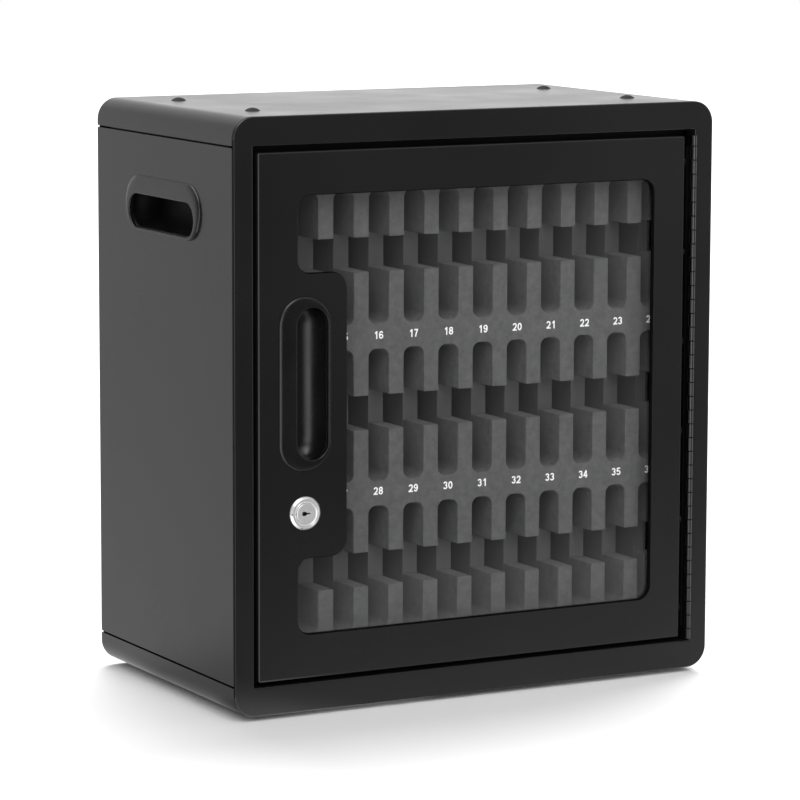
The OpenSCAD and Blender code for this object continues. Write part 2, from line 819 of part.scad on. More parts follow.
module lock_cam() {
    color([0.6, 0.6, 0.62])
    at_cam_rest() difference() {
        union() {
            rod_in(handle_x, lock_z, cam_d, cam_d + cam_t, cam_boss_r, 48);
            block(handle_x - cam_w / 2, handle_x + cam_w / 2, cam_d, cam_d + cam_t,
                lock_z - cam_len + cam_w / 2, lock_z);
            slab(handle_x - cam_w / 2, handle_x + cam_w / 2, cam_d, cam_d + cam_t,
                lock_z - cam_len, lock_z - cam_len + cam_w, cam_w / 3);
        }
        block(handle_x - tail_w / 2 - fit_gap, handle_x + tail_w / 2 + fit_gap, cam_d - 1, cam_d + cam_t + 1,
            lock_z - tail_w / 2 - fit_gap, lock_z + tail_w / 2 + fit_gap);
    }
}

module cam_screw() {
    head_d = cam_d + cam_t;
    color([0.6, 0.6, 0.62])
    difference() {
        union() {
            rod_in(handle_x, lock_z, head_d, head_d + screw_head_h, screw_head_r, 32);
            rod_in(handle_x, lock_z, door_d / 2 + 1, head_d + fit_gap, screw_r, 24);
        }
        block(handle_x - 4, handle_x + 4, head_d + screw_head_h / 2, head_d + screw_head_h + 1,
            lock_z - screw_slot_w / 2, lock_z + screw_slot_w / 2);
    }
}

front_frame();
top_cover();
bottom_cover();
left_side_panel();
right_side_panel();
rear_panel();
left_carry_handle();
right_carry_handle();
top_plugs();
rubber_feet();
upper_door_stop();
lower_door_stop();
door_stop_pads();
foam_comb_top();
foam_comb_upper();
foam_comb_lower();
foam_comb_bottom();
foam_dividers_top_row();
foam_dividers_middle_row();
foam_dividers_bottom_row();
foam_shelves();
foam_backing();
hinge_frame_leaf();
hinge_pin();
hinge_frame_rivets();
door_panel();
door_hinge_angle();
hinge_door_leaf();
hinge_door_rivets();
window_gasket();
door_window();
window_clips();
window_studs();
window_nuts();
door_handle();
lock_housing();
lock_washer();
lock_nut();
lock_plug();
lock_cam();
cam_screw();
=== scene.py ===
import json
import math

import bmesh
import bpy
from mathutils import Matrix, Vector

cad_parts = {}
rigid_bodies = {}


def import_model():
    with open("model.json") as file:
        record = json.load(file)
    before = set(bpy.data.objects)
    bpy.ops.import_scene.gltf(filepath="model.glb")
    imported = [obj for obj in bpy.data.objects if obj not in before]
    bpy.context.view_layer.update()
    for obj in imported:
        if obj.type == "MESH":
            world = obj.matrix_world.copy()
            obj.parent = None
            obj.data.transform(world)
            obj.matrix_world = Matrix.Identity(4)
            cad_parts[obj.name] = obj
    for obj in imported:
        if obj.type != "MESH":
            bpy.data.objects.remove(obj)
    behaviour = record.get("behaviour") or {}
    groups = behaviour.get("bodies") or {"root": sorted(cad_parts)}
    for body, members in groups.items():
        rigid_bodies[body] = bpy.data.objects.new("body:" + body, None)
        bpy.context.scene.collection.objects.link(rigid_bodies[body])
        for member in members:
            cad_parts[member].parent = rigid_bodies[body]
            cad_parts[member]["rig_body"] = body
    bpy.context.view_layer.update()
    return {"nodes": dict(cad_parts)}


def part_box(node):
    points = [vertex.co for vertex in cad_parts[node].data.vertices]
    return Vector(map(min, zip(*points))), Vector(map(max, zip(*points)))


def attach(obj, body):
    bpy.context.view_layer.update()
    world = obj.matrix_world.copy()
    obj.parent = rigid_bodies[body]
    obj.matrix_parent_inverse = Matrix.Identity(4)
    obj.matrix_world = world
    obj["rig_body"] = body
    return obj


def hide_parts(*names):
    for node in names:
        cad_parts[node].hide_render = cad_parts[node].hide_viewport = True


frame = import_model()
nodes = frame["nodes"]
scene = bpy.context.scene
mm = 0.001
print("frame loaded")


# Places: x across, d behind the front of the cabinet, z above its underside, all in mm

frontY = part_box("front_frame")[0].y
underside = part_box("bottom_cover")[0].z
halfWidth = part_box("top_cover")[1].x / mm
bodyHeight = (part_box("top_cover")[1].z - underside) / mm
bodyDepth = (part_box("rear_panel")[1].y - frontY) / mm


def at(x, d, z):
    return Vector((x * mm, frontY + d * mm, underside + z * mm))


def span(node):
    low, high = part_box(node)
    x = (low.x / mm, high.x / mm)
    d = ((low.y - frontY) / mm, (high.y - frontY) / mm)
    z = ((low.z - underside) / mm, (high.z - underside) / mm)
    return x, d, z


openX = span("hinge_frame_leaf")[0][1]
openLow = span("lower_door_stop")[2][0]
openHigh = span("upper_door_stop")[2][1]
(doorLeft, doorRight), (_, doorDeep), (doorLow, doorHigh) = span("door_panel")


# Objects from meshes, and node trees for shaders and for geometry

def toMesh(name, bm):
    mesh = bpy.data.meshes.new(name)
    bm.to_mesh(mesh)
    bm.free()
    return mesh


def inScene(name, data):
    obj = bpy.data.objects.new(name, data)
    scene.collection.objects.link(obj)
    return obj


def feed(tree, socket, value):
    # a socket takes a link from another node, or a plain value
    if isinstance(value, bpy.types.NodeSocket):
        tree.links.new(value, socket)
    else:
        socket.default_value = value


def setUp(tree, node, **values):
    for key, value in values.items():
        socket = node.inputs.get(key.replace("_", " "))
        if socket is not None:
            feed(tree, socket, value)
        else:
            setattr(node, key, value)
    return node


def addNode(tree, kind, **values):
    return setUp(tree, tree.nodes.new(kind), **values)


def figure(tree, operation, *terms):
    # one step of arithmetic on sockets and plain numbers
    node = addNode(tree, "ShaderNodeMath", operation=operation)
    for socket, term in zip(node.inputs, terms):
        feed(tree, socket, term)
    return node.outputs["Value"]


def splitPlace(tree, vector):
    return addNode(tree, "ShaderNodeSeparateXYZ", Vector=vector).outputs


def newTree(name, inputs):
    tree = bpy.data.node_groups.new(name, "GeometryNodeTree")
    face = tree.interface
    face.new_socket("Geometry", in_out="INPUT", socket_type="NodeSocketGeometry")
    for label, kind in inputs:
        face.new_socket(label, in_out="INPUT", socket_type="NodeSocket" + kind)
    face.new_socket("Geometry", in_out="OUTPUT", socket_type="NodeSocketGeometry")
    start, end = tree.nodes.new("NodeGroupInput"), tree.nodes.new("NodeGroupOutput")
    return tree, start.outputs, end.inputs["Geometry"]


def rowOfCopies(tree, piece, count, axis, step, start=(0.0, 0.0, 0.0)):
    offset = addNode(tree, "ShaderNodeCombineXYZ", **{axis: step})
    row = addNode(tree, "GeometryNodeMeshLine", mode="OFFSET", Count=count, Start_Location=start,
                  Offset=offset.outputs["Vector"])
    put = addNode(tree, "GeometryNodeInstanceOnPoints", Points=row.outputs["Mesh"], Instance=piece)
    return put.outputs["Instances"]


def closeTree(tree, geometry, finish, out):
    # every tree ends in real copies that carry their material
    real = addNode(tree, "GeometryNodeRealizeInstances", Geometry=geometry)
    coated = addNode(tree, "GeometryNodeSetMaterial", Geometry=real.outputs["Geometry"], Material=finish)
    feed(tree, out, coated.outputs["Geometry"])
    return tree


def runTree(name, tree, values, base=None):
    obj = inScene(name + "Maker", base or bpy.data.meshes.new(name + "Base"))
    for settings in values if isinstance(values, list) else [values]:
        modifier = obj.modifiers.new("Maker", "NODES")
        modifier.node_group = tree
        for item in tree.interface.items_tree:
            if item.in_out == "INPUT" and item.name in settings:
                modifier[item.identifier] = settings[item.name]
    graph = bpy.context.evaluated_depsgraph_get()
    mesh = bpy.data.meshes.new_from_object(obj.evaluated_get(graph), depsgraph=graph)
    obj.modifiers.clear()
    bpy.data.objects.remove(obj)
    bm = bmesh.new()
    bm.from_mesh(mesh)
    bpy.data.meshes.remove(mesh)
    return bm


# Surface detail, in object coordinates

def newMaterial(name):
    made = bpy.data.materials.new(name)
    made.use_nodes = True
    tree = made.node_tree
    return made, tree, tree.nodes["Principled BSDF"], tree.nodes.new("ShaderNodeTexCoord").outputs["Object"]


def noise(tree, coords, scale, detail=3.0, roughness=0.5):
    node = addNode(tree, "ShaderNodeTexNoise", Vector=coords, Scale=scale, Detail=detail, Roughness=roughness)
    return node.outputs["Fac"]


def ranged(tree, value, low, high, toLow=0.0, toHigh=1.0):
    node = addNode(tree, "ShaderNodeMapRange", Value=value, From_Min=low, From_Max=high, To_Min=toLow,
                   To_Max=toHigh)
    return node.outputs["Result"]


def patches(tree, coords, scale, detail=3.0, low=0.35, roughness=0.5):
    # soft clouds between 0 and 1
    return ranged(tree, noise(tree, coords, scale, detail, roughness), low, 1 - low)


def unevenShine(tree, height, look):
    return ranged(tree, height, 0.3, 0.7, look["smooth"], look["rough"])


def blendColors(tree, factor, first, second):
    node = addNode(tree, "ShaderNodeMix", data_type="RGBA")
    for k, value in ((0, factor), (6, first), (7, second)):
        feed(tree, node.inputs[k], (*value, 1) if isinstance(value, tuple) else value)
    return node.outputs[2]


def blendLevels(tree, factor, first, second):
    node = addNode(tree, "ShaderNodeMix")
    for k, value in ((0, factor), (2, first), (3, second)):
        feed(tree, node.inputs[k], value)
    return node.outputs[0]


def blendShaders(tree, factor, first, second):
    node = addNode(tree, "ShaderNodeMixShader")
    for socket, value in zip(node.inputs, (factor, first, second)):
        feed(tree, socket, value)
    feed(tree, tree.nodes["Material Output"].inputs["Surface"], node.outputs["Shader"])


def bumped(tree, shader, *layers):
    # each layer is (height, depth), the coarser one first
    normal = None
    for height, depth in layers:
        node = addNode(tree, "ShaderNodeBump", Height=height, Strength=1.0, Distance=depth)
        if normal is not None:
            feed(tree, node.inputs["Normal"], normal)
        normal = node.outputs["Normal"]
    feed(tree, shader.inputs["Normal"], normal)


powderCoat = {"dark": (0.0052, 0.0052, 0.0054), "light": (0.0078, 0.0078, 0.008), "speck": (0.02, 0.02, 0.02),
              "cloud": 6.0, "specks": 900.0, "smear": 14.0, "peel": 820.0, "peelDepth": 0.000009,
              "wave": 160.0, "waveDepth": 0.0000108, "smooth": 0.22, "rough": 0.28, "ior": 1.5}
hingeLook = {**powderCoat, "dark": (0.011, 0.011, 0.0112), "light": (0.016, 0.016, 0.0163), "smooth": 0.2,
             "rough": 0.27, "ior": 1.75}
# near-black coat for faces in seams, gaps and round the door: painted shade
shadeCoatLook = {**powderCoat, "dark": (0.0016, 0.0016, 0.0017), "light": (0.003, 0.003, 0.0031), "rough": 0.4,
              "ior": 1.25}


def makePowderCoat(name, look):
    made, tree, shader, coords = newMaterial(name)
    base = blendColors(tree, patches(tree, coords, look["cloud"]), look["dark"], look["light"])
    specks = ranged(tree, noise(tree, coords, look["specks"], 1.0), 0.74, 0.78, 0.0, 0.6)
    shine = unevenShine(tree, noise(tree, coords, look["smear"], 4.0), look)
    colour = blendColors(tree, specks, base, look["speck"])
    setUp(tree, shader, Base_Color=colour, Roughness=shine, IOR=look["ior"])
    waves, peel = noise(tree, coords, look["wave"], 1.0), noise(tree, coords, look["peel"], 2.0)
    bumped(tree, shader, (waves, look["waveDepth"]), (peel, look["peelDepth"]))
    return made


mouldedPlastic = {"dark": (0.0032, 0.0032, 0.0034), "light": (0.0052, 0.0052, 0.0054), "cloud": 22.0,
                  "smear": 45.0, "grain": 1500.0, "grainDepth": 0.000004, "wave": 90.0, "waveDepth": 0.00001,
                  "smooth": 0.24, "rough": 0.3, "shine": 0.5}
# a darker and rougher copy of the pull's plastic for the side pulls' pockets; the darker colour is painted
# shade
pocketShadeLook = {**mouldedPlastic, "dark": (0.001, 0.001, 0.0011), "light": (0.0018, 0.0018, 0.0019),
            "smooth": 0.4, "rough": 0.55, "shine": 0.06}


def makePlastic(name, look):
    made, tree, shader, coords = newMaterial(name)
    base = blendColors(tree, patches(tree, coords, look["cloud"]), look["dark"], look["light"])
    shine = unevenShine(tree, noise(tree, coords, look["smear"]), look)
    setUp(tree, shader, Base_Color=base, Roughness=shine, Specular_IOR_Level=look["shine"])
    grain, waves = noise(tree, coords, look["grain"], 1.0), noise(tree, coords, look["wave"], 1.0)
    bumped(tree, shader, (grain, look["grainDepth"]), (waves, look["waveDepth"]))
    return made


foamLook = {"dark": (0.079, 0.079, 0.08), "light": (0.105, 0.105, 0.106), "pit": (0.043, 0.043, 0.044),
            "cloud": 150.0, "cells": 1150.0, "cellDepth": 0.00012, "skin": 320.0, "skinDepth": 0.00018,
            "deepFrom": 6.0, "deepTo": 30.0, "deepShade": 1.16}
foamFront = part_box("foam_comb_top")[0].y


def makeFoam(name, look):
    made, tree, shader, coords = newMaterial(name)
    cloud = patches(tree, coords, look["cloud"], 5.0, 0.36, 0.7)
    near = blendColors(tree, cloud, look["dark"], look["light"])
    # deeper into the slots the mottled colour gives way to one even tone, deepShade times the dark colour
    deep = ranged(tree, splitPlace(tree, coords)["Y"], foamFront + look["deepFrom"] * mm,
                  foamFront + look["deepTo"] * mm)
    base = blendColors(tree, deep, near, tuple(c * look["deepShade"] for c in look["dark"]))
    cells = addNode(tree, "ShaderNodeTexVoronoi", Vector=coords, Scale=look["cells"]).outputs["Distance"]
    pits = ranged(tree, cells, 0.0, 0.3, 0.55, 0.0)
    setUp(tree, shader, Base_Color=blendColors(tree, pits, base, look["pit"]),
          Roughness=ranged(tree, cloud, 0.0, 1.0, 0.95, 0.82), Specular_IOR_Level=0.3, Sheen_Weight=0.06)
    bumped(tree, shader, (noise(tree, coords, look["skin"]), look["skinDepth"]), (cells, look["cellDepth"]))
    return made


rubberLook = {"dark": (0.008, 0.008, 0.0082), "light": (0.013, 0.013, 0.0133),
              "bloom": (0.024, 0.024, 0.0245), "cloud": 120.0, "dust": 700.0, "grain": 1300.0,
              "grainDepth": 0.00003, "shine": 0.25}
# window seal coloured darker than real rubber: painted shade along the window's edge
sealShadeLook = {**rubberLook, "dark": (0.0022, 0.0022, 0.0023), "light": (0.0034, 0.0034, 0.0035),
            "bloom": (0.006, 0.006, 0.006), "shine": 0.03}


def makeRubber(name, look):
    made, tree, shader, coords = newMaterial(name)
    cloud = patches(tree, coords, look["cloud"], 4.0)
    base = blendColors(tree, cloud, look["dark"], look["light"])
    dusty = ranged(tree, noise(tree, coords, look["dust"], 2.0), 0.6, 0.75, 0.0, 0.5)
    setUp(tree, shader, Base_Color=blendColors(tree, dusty, base, look["bloom"]),
          Roughness=ranged(tree, cloud, 0.0, 1.0, 0.5, 0.7), Specular_IOR_Level=look["shine"])
    bumped(tree, shader, (noise(tree, coords, look["grain"], 2.0), look["grainDepth"]))
    return made


metalLook = {"cloud": 210.0, "streaks": 900.0, "streakDepth": 0.000003, "grain": 0.12, "metallic": 1.0}
chromeLook = {**metalLook, "tone": (0.92, 0.92, 0.92), "haze": (0.82, 0.82, 0.82), "smooth": 0.16,
              "rough": 0.26, "grain": 1.0, "metallic": 0.72}
zincLook = {**metalLook, "tone": (0.62, 0.62, 0.63), "haze": (0.45, 0.45, 0.46), "smooth": 0.28,
            "rough": 0.45}
# near-black steel: the dark marks on the lock, and painted shade for the hinge pin between the knuckles and
# the keyway's inside
darkSteelShadeLook = {**metalLook, "tone": (0.022, 0.022, 0.023), "haze": (0.012, 0.012, 0.0125), "smooth": 0.3,
           "rough": 0.45}


def makeMetal(name, look):
    # streaks run upright where the grain is below 1
    made, tree, shader, coords = newMaterial(name)
    stretch = addNode(tree, "ShaderNodeMapping", Vector=coords, Scale=(look["grain"], look["grain"], 1.0))
    streaks = noise(tree, stretch.outputs["Vector"], look["streaks"], 3.0, 0.7)
    cloud = ranged(tree, noise(tree, coords, look["cloud"]), 0.4, 0.75)
    setUp(tree, shader, Base_Color=blendColors(tree, cloud, look["tone"], look["haze"]),
          Roughness=unevenShine(tree, streaks, look), Metallic=look["metallic"])
    bumped(tree, shader, (streaks, look["streakDepth"]))
    return made


paneLook = {"tint": (0.969, 0.97, 0.969), "mirror": (0.95, 0.95, 0.95), "smears": 35.0, "smooth": 0.02,
            "smear": 0.09, "ior": 1.78}


def makePane(name, look):
    made, tree, shader, coords = newMaterial(name)
    smears = noise(tree, coords, look["smears"], 5.0, 0.65)
    setUp(tree, shader, Base_Color=(*look["mirror"], 1), Metallic=1.0,
          Roughness=ranged(tree, smears, 0.45, 0.75, look["smooth"], look["smear"]))
    clear = addNode(tree, "ShaderNodeBsdfTransparent", Color=(*look["tint"], 1))
    mirror = addNode(tree, "ShaderNodeFresnel", IOR=look["ior"])
    # only the outer side of each face reflects, so that the pane stays clear when seen aslant
    back = addNode(tree, "ShaderNodeNewGeometry").outputs["Backfacing"]
    share = figure(tree, "MULTIPLY", mirror.outputs["Fac"], ranged(tree, back, 0.0, 1.0, 1.0, 0.0))
    blendShaders(tree, share, clear.outputs["BSDF"], shader.outputs["BSDF"])
    return made


inkLook = {"fresh": (0.97, 0.97, 0.97), "thin": (0.9, 0.9, 0.9), "wear": 1400.0, "grain": 1100.0,
           "grainDepth": 0.00004}


def makeInk(name, look):
    made, tree, shader, coords = newMaterial(name)
    worn = ranged(tree, noise(tree, coords, look["wear"]), 0.55, 0.7)
    setUp(tree, shader, Base_Color=blendColors(tree, worn, look["fresh"], look["thin"]),
          Roughness=ranged(tree, worn, 0.0, 1.0, 0.5, 0.75))
    bumped(tree, shader, (noise(tree, coords, look["grain"], 2.0), look["grainDepth"]))
    return made


coat = makePowderCoat("blackPowderCoat", powderCoat)
hingeCoat = makePowderCoat("blackHingeCoat", hingeLook)
shadeCoat = makePowderCoat("paintedShadeCoat", shadeCoatLook)
plastic = makePlastic("blackPlastic", mouldedPlastic)
pocketShadePlastic = makePlastic("pocketShadeBlackPlastic", pocketShadeLook)
foam = makeFoam("charcoalFoam", foamLook)
rubber = makeRubber("blackRubber", rubberLook)
shadedSealRubber = makeRubber("shadedSealRubber", sealShadeLook)
chrome = makeMetal("lockChrome", chromeLook)
zinc = makeMetal("zincSteel", zincLook)
darkSteelAndShade = makeMetal("darkSteelAndShadeFinish", darkSteelShadeLook)
pane = makePane("clearPane", paneLook)
ink = makeInk("numberInk", inkLook)
print("materials made")


# Outlines, as lists of points that run anticlockwise seen from the front

def bow(cx, cz, rx, rz, start, end, steps=14):
    turns = [math.radians(start + (end - start) * k / steps) for k in range(steps + 1)]
    return [(cx + rx * math.cos(a), cz + rz * math.sin(a)) for a in turns]


def arc(cx, cz, r, start, end, steps):
    return bow(cx, cz, r, r, start, end, steps)


def roundedLoop(x0, x1, z0, z1, r, steps=8):
    r = max(r, 0.0)
    points = arc(x1 - r, z0 + r, r, -90, 0, steps) + arc(x1 - r, z1 - r, r, 0, 90, steps)
    return points + arc(x0 + r, z1 - r, r, 90, 180, steps) + arc(x0 + r, z0 + r, r, 180, 270, steps)


def circleLoop(cx, cz, r, steps=16):
    return roundedLoop(cx - r, cx + r, cz - r, cz + r, r, steps)


def capsuleLoop(cx, cz, r, half, steps=20):
    return arc(cx, cz + half, r, 0, 180, steps) + arc(cx, cz - half, r, 180, 360, steps)


def insetLoop(points, t):
    moved = []
    for k, (x, z) in enumerate(points):
        back, ahead = Vector(points[k - 1]), Vector(points[(k + 1) % len(points)])
        here = Vector((x, z))
        first, second = (here - back).normalized(), (ahead - here).normalized()
        n1, n2 = Vector((-first.y, first.x)), Vector((-second.y, second.x))
        side = (n1 + n2) / (1 + n1.dot(n2))
        moved.append((x + side.x * t, z + side.y * t))
    return moved


def rolled(r, d=0.0, steps=4):
    # a rounded front edge, from the flat face to the side wall, as [inset, depth]
    turns = [math.radians(90 * k / steps) for k in range(steps + 1)]
    return [(r * (1 - math.sin(a)), d + r * (1 - math.cos(a))) for a in turns]


def rolledBack(r, d, steps=3):
    return [(inset, 2 * d - depth) for inset, depth in reversed(rolled(r, d, steps))]


# Solids

def bridge(bm, first, second):
    count = len(first)
    for k in range(count):
        bm.faces.new((first[k], first[(k + 1) % count], second[(k + 1) % count], second[k]))


def shell(bm, place, rims):
    # each rim is [outline at an inset, edge as (inset, depth) from front to back, whether its end is a floor]
    mark = bm.verts.layers.int.get("face") or bm.verts.layers.int.new("face")
    own = []
    for loopAt, edge, floored in rims:
        rings = [[bm.verts.new(place(u, d, v)) for u, v in loopAt(t)] for t, d in edge]
        for first, second in zip(rings, rings[1:]):
            bridge(bm, first, second)
        for v in rings[0]:
            v[mark] = 1
        for v in rings[-1]:
            v[mark] = 0 if floored else 2
        if floored:
            bm.faces.new(rings[-1])
        own += [v for ring in rings for v in ring]
    bmesh.ops.remove_doubles(bm, verts=own, dist=1e-7)
    for side in (1, 2):
        edges = [e for e in bm.edges if len(e.link_faces) == 1 and all(v[mark] == side for v in e.verts)]
        bmesh.ops.triangle_fill(bm, use_beauty=True, use_dissolve=False, edges=edges)
    for v in bm.verts:
        v[mark] = 0


def stack(bm, place, rings):
    # rings of one length, each [points, depth]; the ends meet, or shrink to a pole or a line
    made = [[bm.verts.new(place(u, d, v)) for u, v in points] for points, d in rings]
    for first, second in zip(made, made[1:]):
        bridge(bm, first, second)


def turned(bm, place, profile, steps, cx=0.0, cz=0.0):
    # a turned part: profile is [radius, depth]
    stack(bm, place, [(circleLoop(cx, cz, r, steps), d) for r, d in profile])


def bar(bm, x, d, z, edge=0.3, place=at):
    corners = [bm.verts.new(place(x[i], d[j], z[k])) for i in (0, 1) for j in (0, 1) for k in (0, 1)]
    faces = ((0, 1, 3, 2), (4, 6, 7, 5), (0, 4, 5, 1), (2, 3, 7, 6), (0, 2, 6, 4), (1, 5, 7, 3))
    made = [bm.faces.new([corners[i] for i in face]) for face in faces]
    bmesh.ops.recalc_face_normals(bm, faces=made)
    if edge:
        edges = list({e for f in made for e in f.edges})
        bmesh.ops.bevel(bm, geom=edges, offset=edge * mm, segments=2, affect="EDGES", profile=0.5,
                        clamp_overlap=True)


# bevel steps, the angle past which an edge is bevelled, and how far large faces lead the shading
rounding = {"steps": 3, "angle": 35.0, "weight": 60}


def addPiece(name, bm, material, body, stands=(), crease=40.0, bevel=None, merge=2e-6):
    # crease is the angle in degrees past which an edge looks sharp, merge a distance in metres
    if merge:
        bmesh.ops.remove_doubles(bm, verts=bm.verts, dist=merge)
    bmesh.ops.recalc_face_normals(bm, faces=bm.faces)
    for f in bm.faces:
        f.smooth = True
    for e in bm.edges:
        e.smooth = len(e.link_faces) == 2 and e.calc_face_angle(0.0) < math.radians(crease)
    mesh = toMesh(name, bm)
    obj = inScene(name, mesh)
    if bevel:
        edges = obj.modifiers.new("Rounding", "BEVEL")
        edges.width, edges.segments = bevel * mm, rounding["steps"]
        edges.limit_method, edges.angle_limit = "ANGLE", math.radians(rounding["angle"])
        edges.use_clamp_overlap = True
        edges.miter_outer = "MITER_ARC"
    weights = obj.modifiers.new("Weights", "WEIGHTED_NORMAL")
    weights.keep_sharp, weights.weight = True, rounding["weight"]
    graph = bpy.context.evaluated_depsgraph_get()
    final = bpy.data.meshes.new_from_object(obj.evaluated_get(graph), depsgraph=graph)
    obj.modifiers.clear()
    obj.data = final
    final.name = name
    bpy.data.meshes.remove(mesh)
    final.materials.clear()
    final.materials.append(material)
    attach(obj, body)
    if stands:
        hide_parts(*stands)
    return obj


def recoat(piece, material, chosen):
    # another finish for the faces picked by their centre
    piece.data.materials.append(material)
    for face in piece.data.polygons:
        if chosen(face.center):
            face.material_index = 1


# Copies set on points: each point carries its turn

def makePlacedTree():
    tree, given, out = newTree("placedCopies", [("Piece", "Object"), ("Finish", "Material")])
    piece = addNode(tree, "GeometryNodeObjectInfo", transform_space="ORIGINAL", Object=given["Piece"])
    turn = addNode(tree, "GeometryNodeInputNamedAttribute", data_type="FLOAT_VECTOR", Name="turn")
    spin = addNode(tree, "FunctionNodeEulerToRotation", Euler=turn.outputs["Attribute"])
    put = addNode(tree, "GeometryNodeInstanceOnPoints", Points=given["Geometry"],
                  Instance=piece.outputs["Geometry"], Rotation=spin.outputs["Rotation"])
    return closeTree(tree, put.outputs["Instances"], given["Finish"], out)


placedTree = makePlacedTree()


def copiesAt(name, model, places, finish):
    # places is a list of [point, turn]; model is drawn round the origin
    bmesh.ops.remove_doubles(model, verts=model.verts, dist=1e-7)
    bmesh.ops.recalc_face_normals(model, faces=model.faces)
    source = inScene(name + "Model", toMesh(name + "Model", model))
    points = bpy.data.meshes.new(name + "Points")
    points.from_pydata([point for point, turn in places], [], [])
    turns = points.attributes.new("turn", "FLOAT_VECTOR", "POINT")
    turns.data.foreach_set("vector", [a for point, turn in places for a in turn])
    bm = runTree(name, placedTree, {"Piece": source, "Finish": finish}, points)
    bpy.data.objects.remove(source)
    return bm


def local(u, d, v):
    return Vector((u * mm, d * mm, v * mm))


# Cabinet shell

cabinet = {"sheet": 1.5, "bend": 16.0, "seam": 1.4, "frameSeam": 1.2, "cutEdge": 1.1, "frameFold": 1.2,
           "frameCorner": 0.5, "sideFlange": 12.5, "deepFlange": 21.0, "flangeLap": 0.5, "rimDepth": 13.0,
           "rimIn": 45.0, "rimLap": 0.4, "rimStep": 1.6, "joggle": 2.4, "rimStart": 20.0,
           "rimWidth": 6.0, "rimShade": 0.3, "panelCorner": 0.3, "tabIn": 16.0, "tabLap": 8.0, "tabShade": 1.0,
           "tabStep": (0.6, 1.6)}  # the last in parts of the seam
sheetEdge = {"front": 0.35, "back": 0.25, "strip": 0.2}  # rounding of the sheets' cut edges
sheet = cabinet["sheet"]
coverFront = sheet + cabinet["frameSeam"]
skirtTop = span("top_cover")[2][0]
skirtBottom = span("bottom_cover")[2][1]
plainEdge = rolled(sheetEdge["front"], 0, 3) + rolledBack(sheetEdge["back"], sheet)


def makeFrontFrame():
    bm = bmesh.new()
    bend, flange, strip = cabinet["bend"], cabinet["sideFlange"], sheetEdge["strip"]

    def outside(t):
        return roundedLoop(-halfWidth + t, halfWidth - t, t, bodyHeight - t, bend - t, 20)

    def opening(t):
        return roundedLoop(-openX - t, openX + t, openLow - t, openHigh + t, cabinet["frameCorner"] + t, 5)

    inward = [(0, flange - strip), (strip, flange), (sheet, flange), (sheet, sheet)]
    shell(bm, at, [
        [outside, rolled(cabinet["cutEdge"], 0, 5) + rolledBack(sheetEdge["back"], sheet), False],
        [opening, rolled(cabinet["frameFold"], 0, 6) + inward, False],
    ])
    for z in (openLow - sheet, openHigh):
        deep = (flange - cabinet["flangeLap"], cabinet["deepFlange"])
        bar(bm, (-openX - sheet, openX + sheet), deep, (z, z + sheet), strip)
    # joggled rims inside the covers, so that the seam behind the frame stays open
    step, rimIn = cabinet["joggle"], cabinet["rimIn"]
    lap, reach = coverFront + cabinet["rimLap"], coverFront + cabinet["rimStep"]
    layers = [(step, 0, (sheet - strip, reach)), (0, step, (lap, reach)), (0, 0, (lap, cabinet["rimDepth"]))]
    for low, high, d in layers:
        near, far = sheet + low, 2 * sheet + max(low, high)
        bar(bm, (-halfWidth + rimIn, halfWidth - rimIn), d, (near, far), strip)
        bar(bm, (-halfWidth + rimIn, halfWidth - rimIn), d, (bodyHeight - far, bodyHeight - near), strip)
        bar(bm, (-halfWidth + near, -halfWidth + far), d, (rimIn, bodyHeight - rimIn), strip)
        bar(bm, (halfWidth - far, halfWidth - near), d, (rimIn, bodyHeight - rimIn), strip)
    rim = addPiece("frontFrame", bm, coat, "cabinet", ["front_frame"])
    low, high = underside + cabinet["rimStart"] * mm, underside + (bodyHeight - cabinet["rimStart"]) * mm
    shade, inner = frontY + cabinet["rimShade"] * mm, (halfWidth - cabinet["rimWidth"]) * mm
    # painted shade: the cut edges beside the seams get the near-black coat, standing in for the shade in the
    # seam
    recoat(rim, shadeCoat, lambda c: c.y > shade and abs(c.x) > inner and low < c.z < high)


def coverOutline(side):
    # section of a bent cover, outside first; side is 1 for the top cover and -1 for the bottom one
    bend, steps = cabinet["bend"], 24
    far, inner = halfWidth - bend, bend - sheet
    zc, edge, start = (bodyHeight - bend, skirtTop, 0) if side > 0 else (bend, skirtBottom, 180)

    def corner(x, r, turn, sweep=90):
        return arc(x, zc, r, turn, turn + sweep, steps)

    outer = corner(side * far, bend, start) + corner(-side * far, bend, start + 90)
    inside = corner(-side * far, inner, start + 180, -90) + corner(side * far, inner, start + 90, -90)
    wide, narrow = side * halfWidth, side * (halfWidth - sheet)
    return [(wide, edge)] + outer + [(-wide, edge), (-narrow, edge)] + inside + [(narrow, edge)]


def makeCovers():
    for name, node, side in (("topCover", "top_cover", 1), ("bottomCover", "bottom_cover", -1)):
        bm = bmesh.new()
        outline = coverOutline(side)
        edge = rolled(sheetEdge["front"], coverFront, 3) + rolledBack(sheetEdge["front"], bodyDepth)
        shell(bm, at, [[lambda t: insetLoop(outline, t), edge, False]])
        addPiece(name, bm, coat, "cabinet", [node])


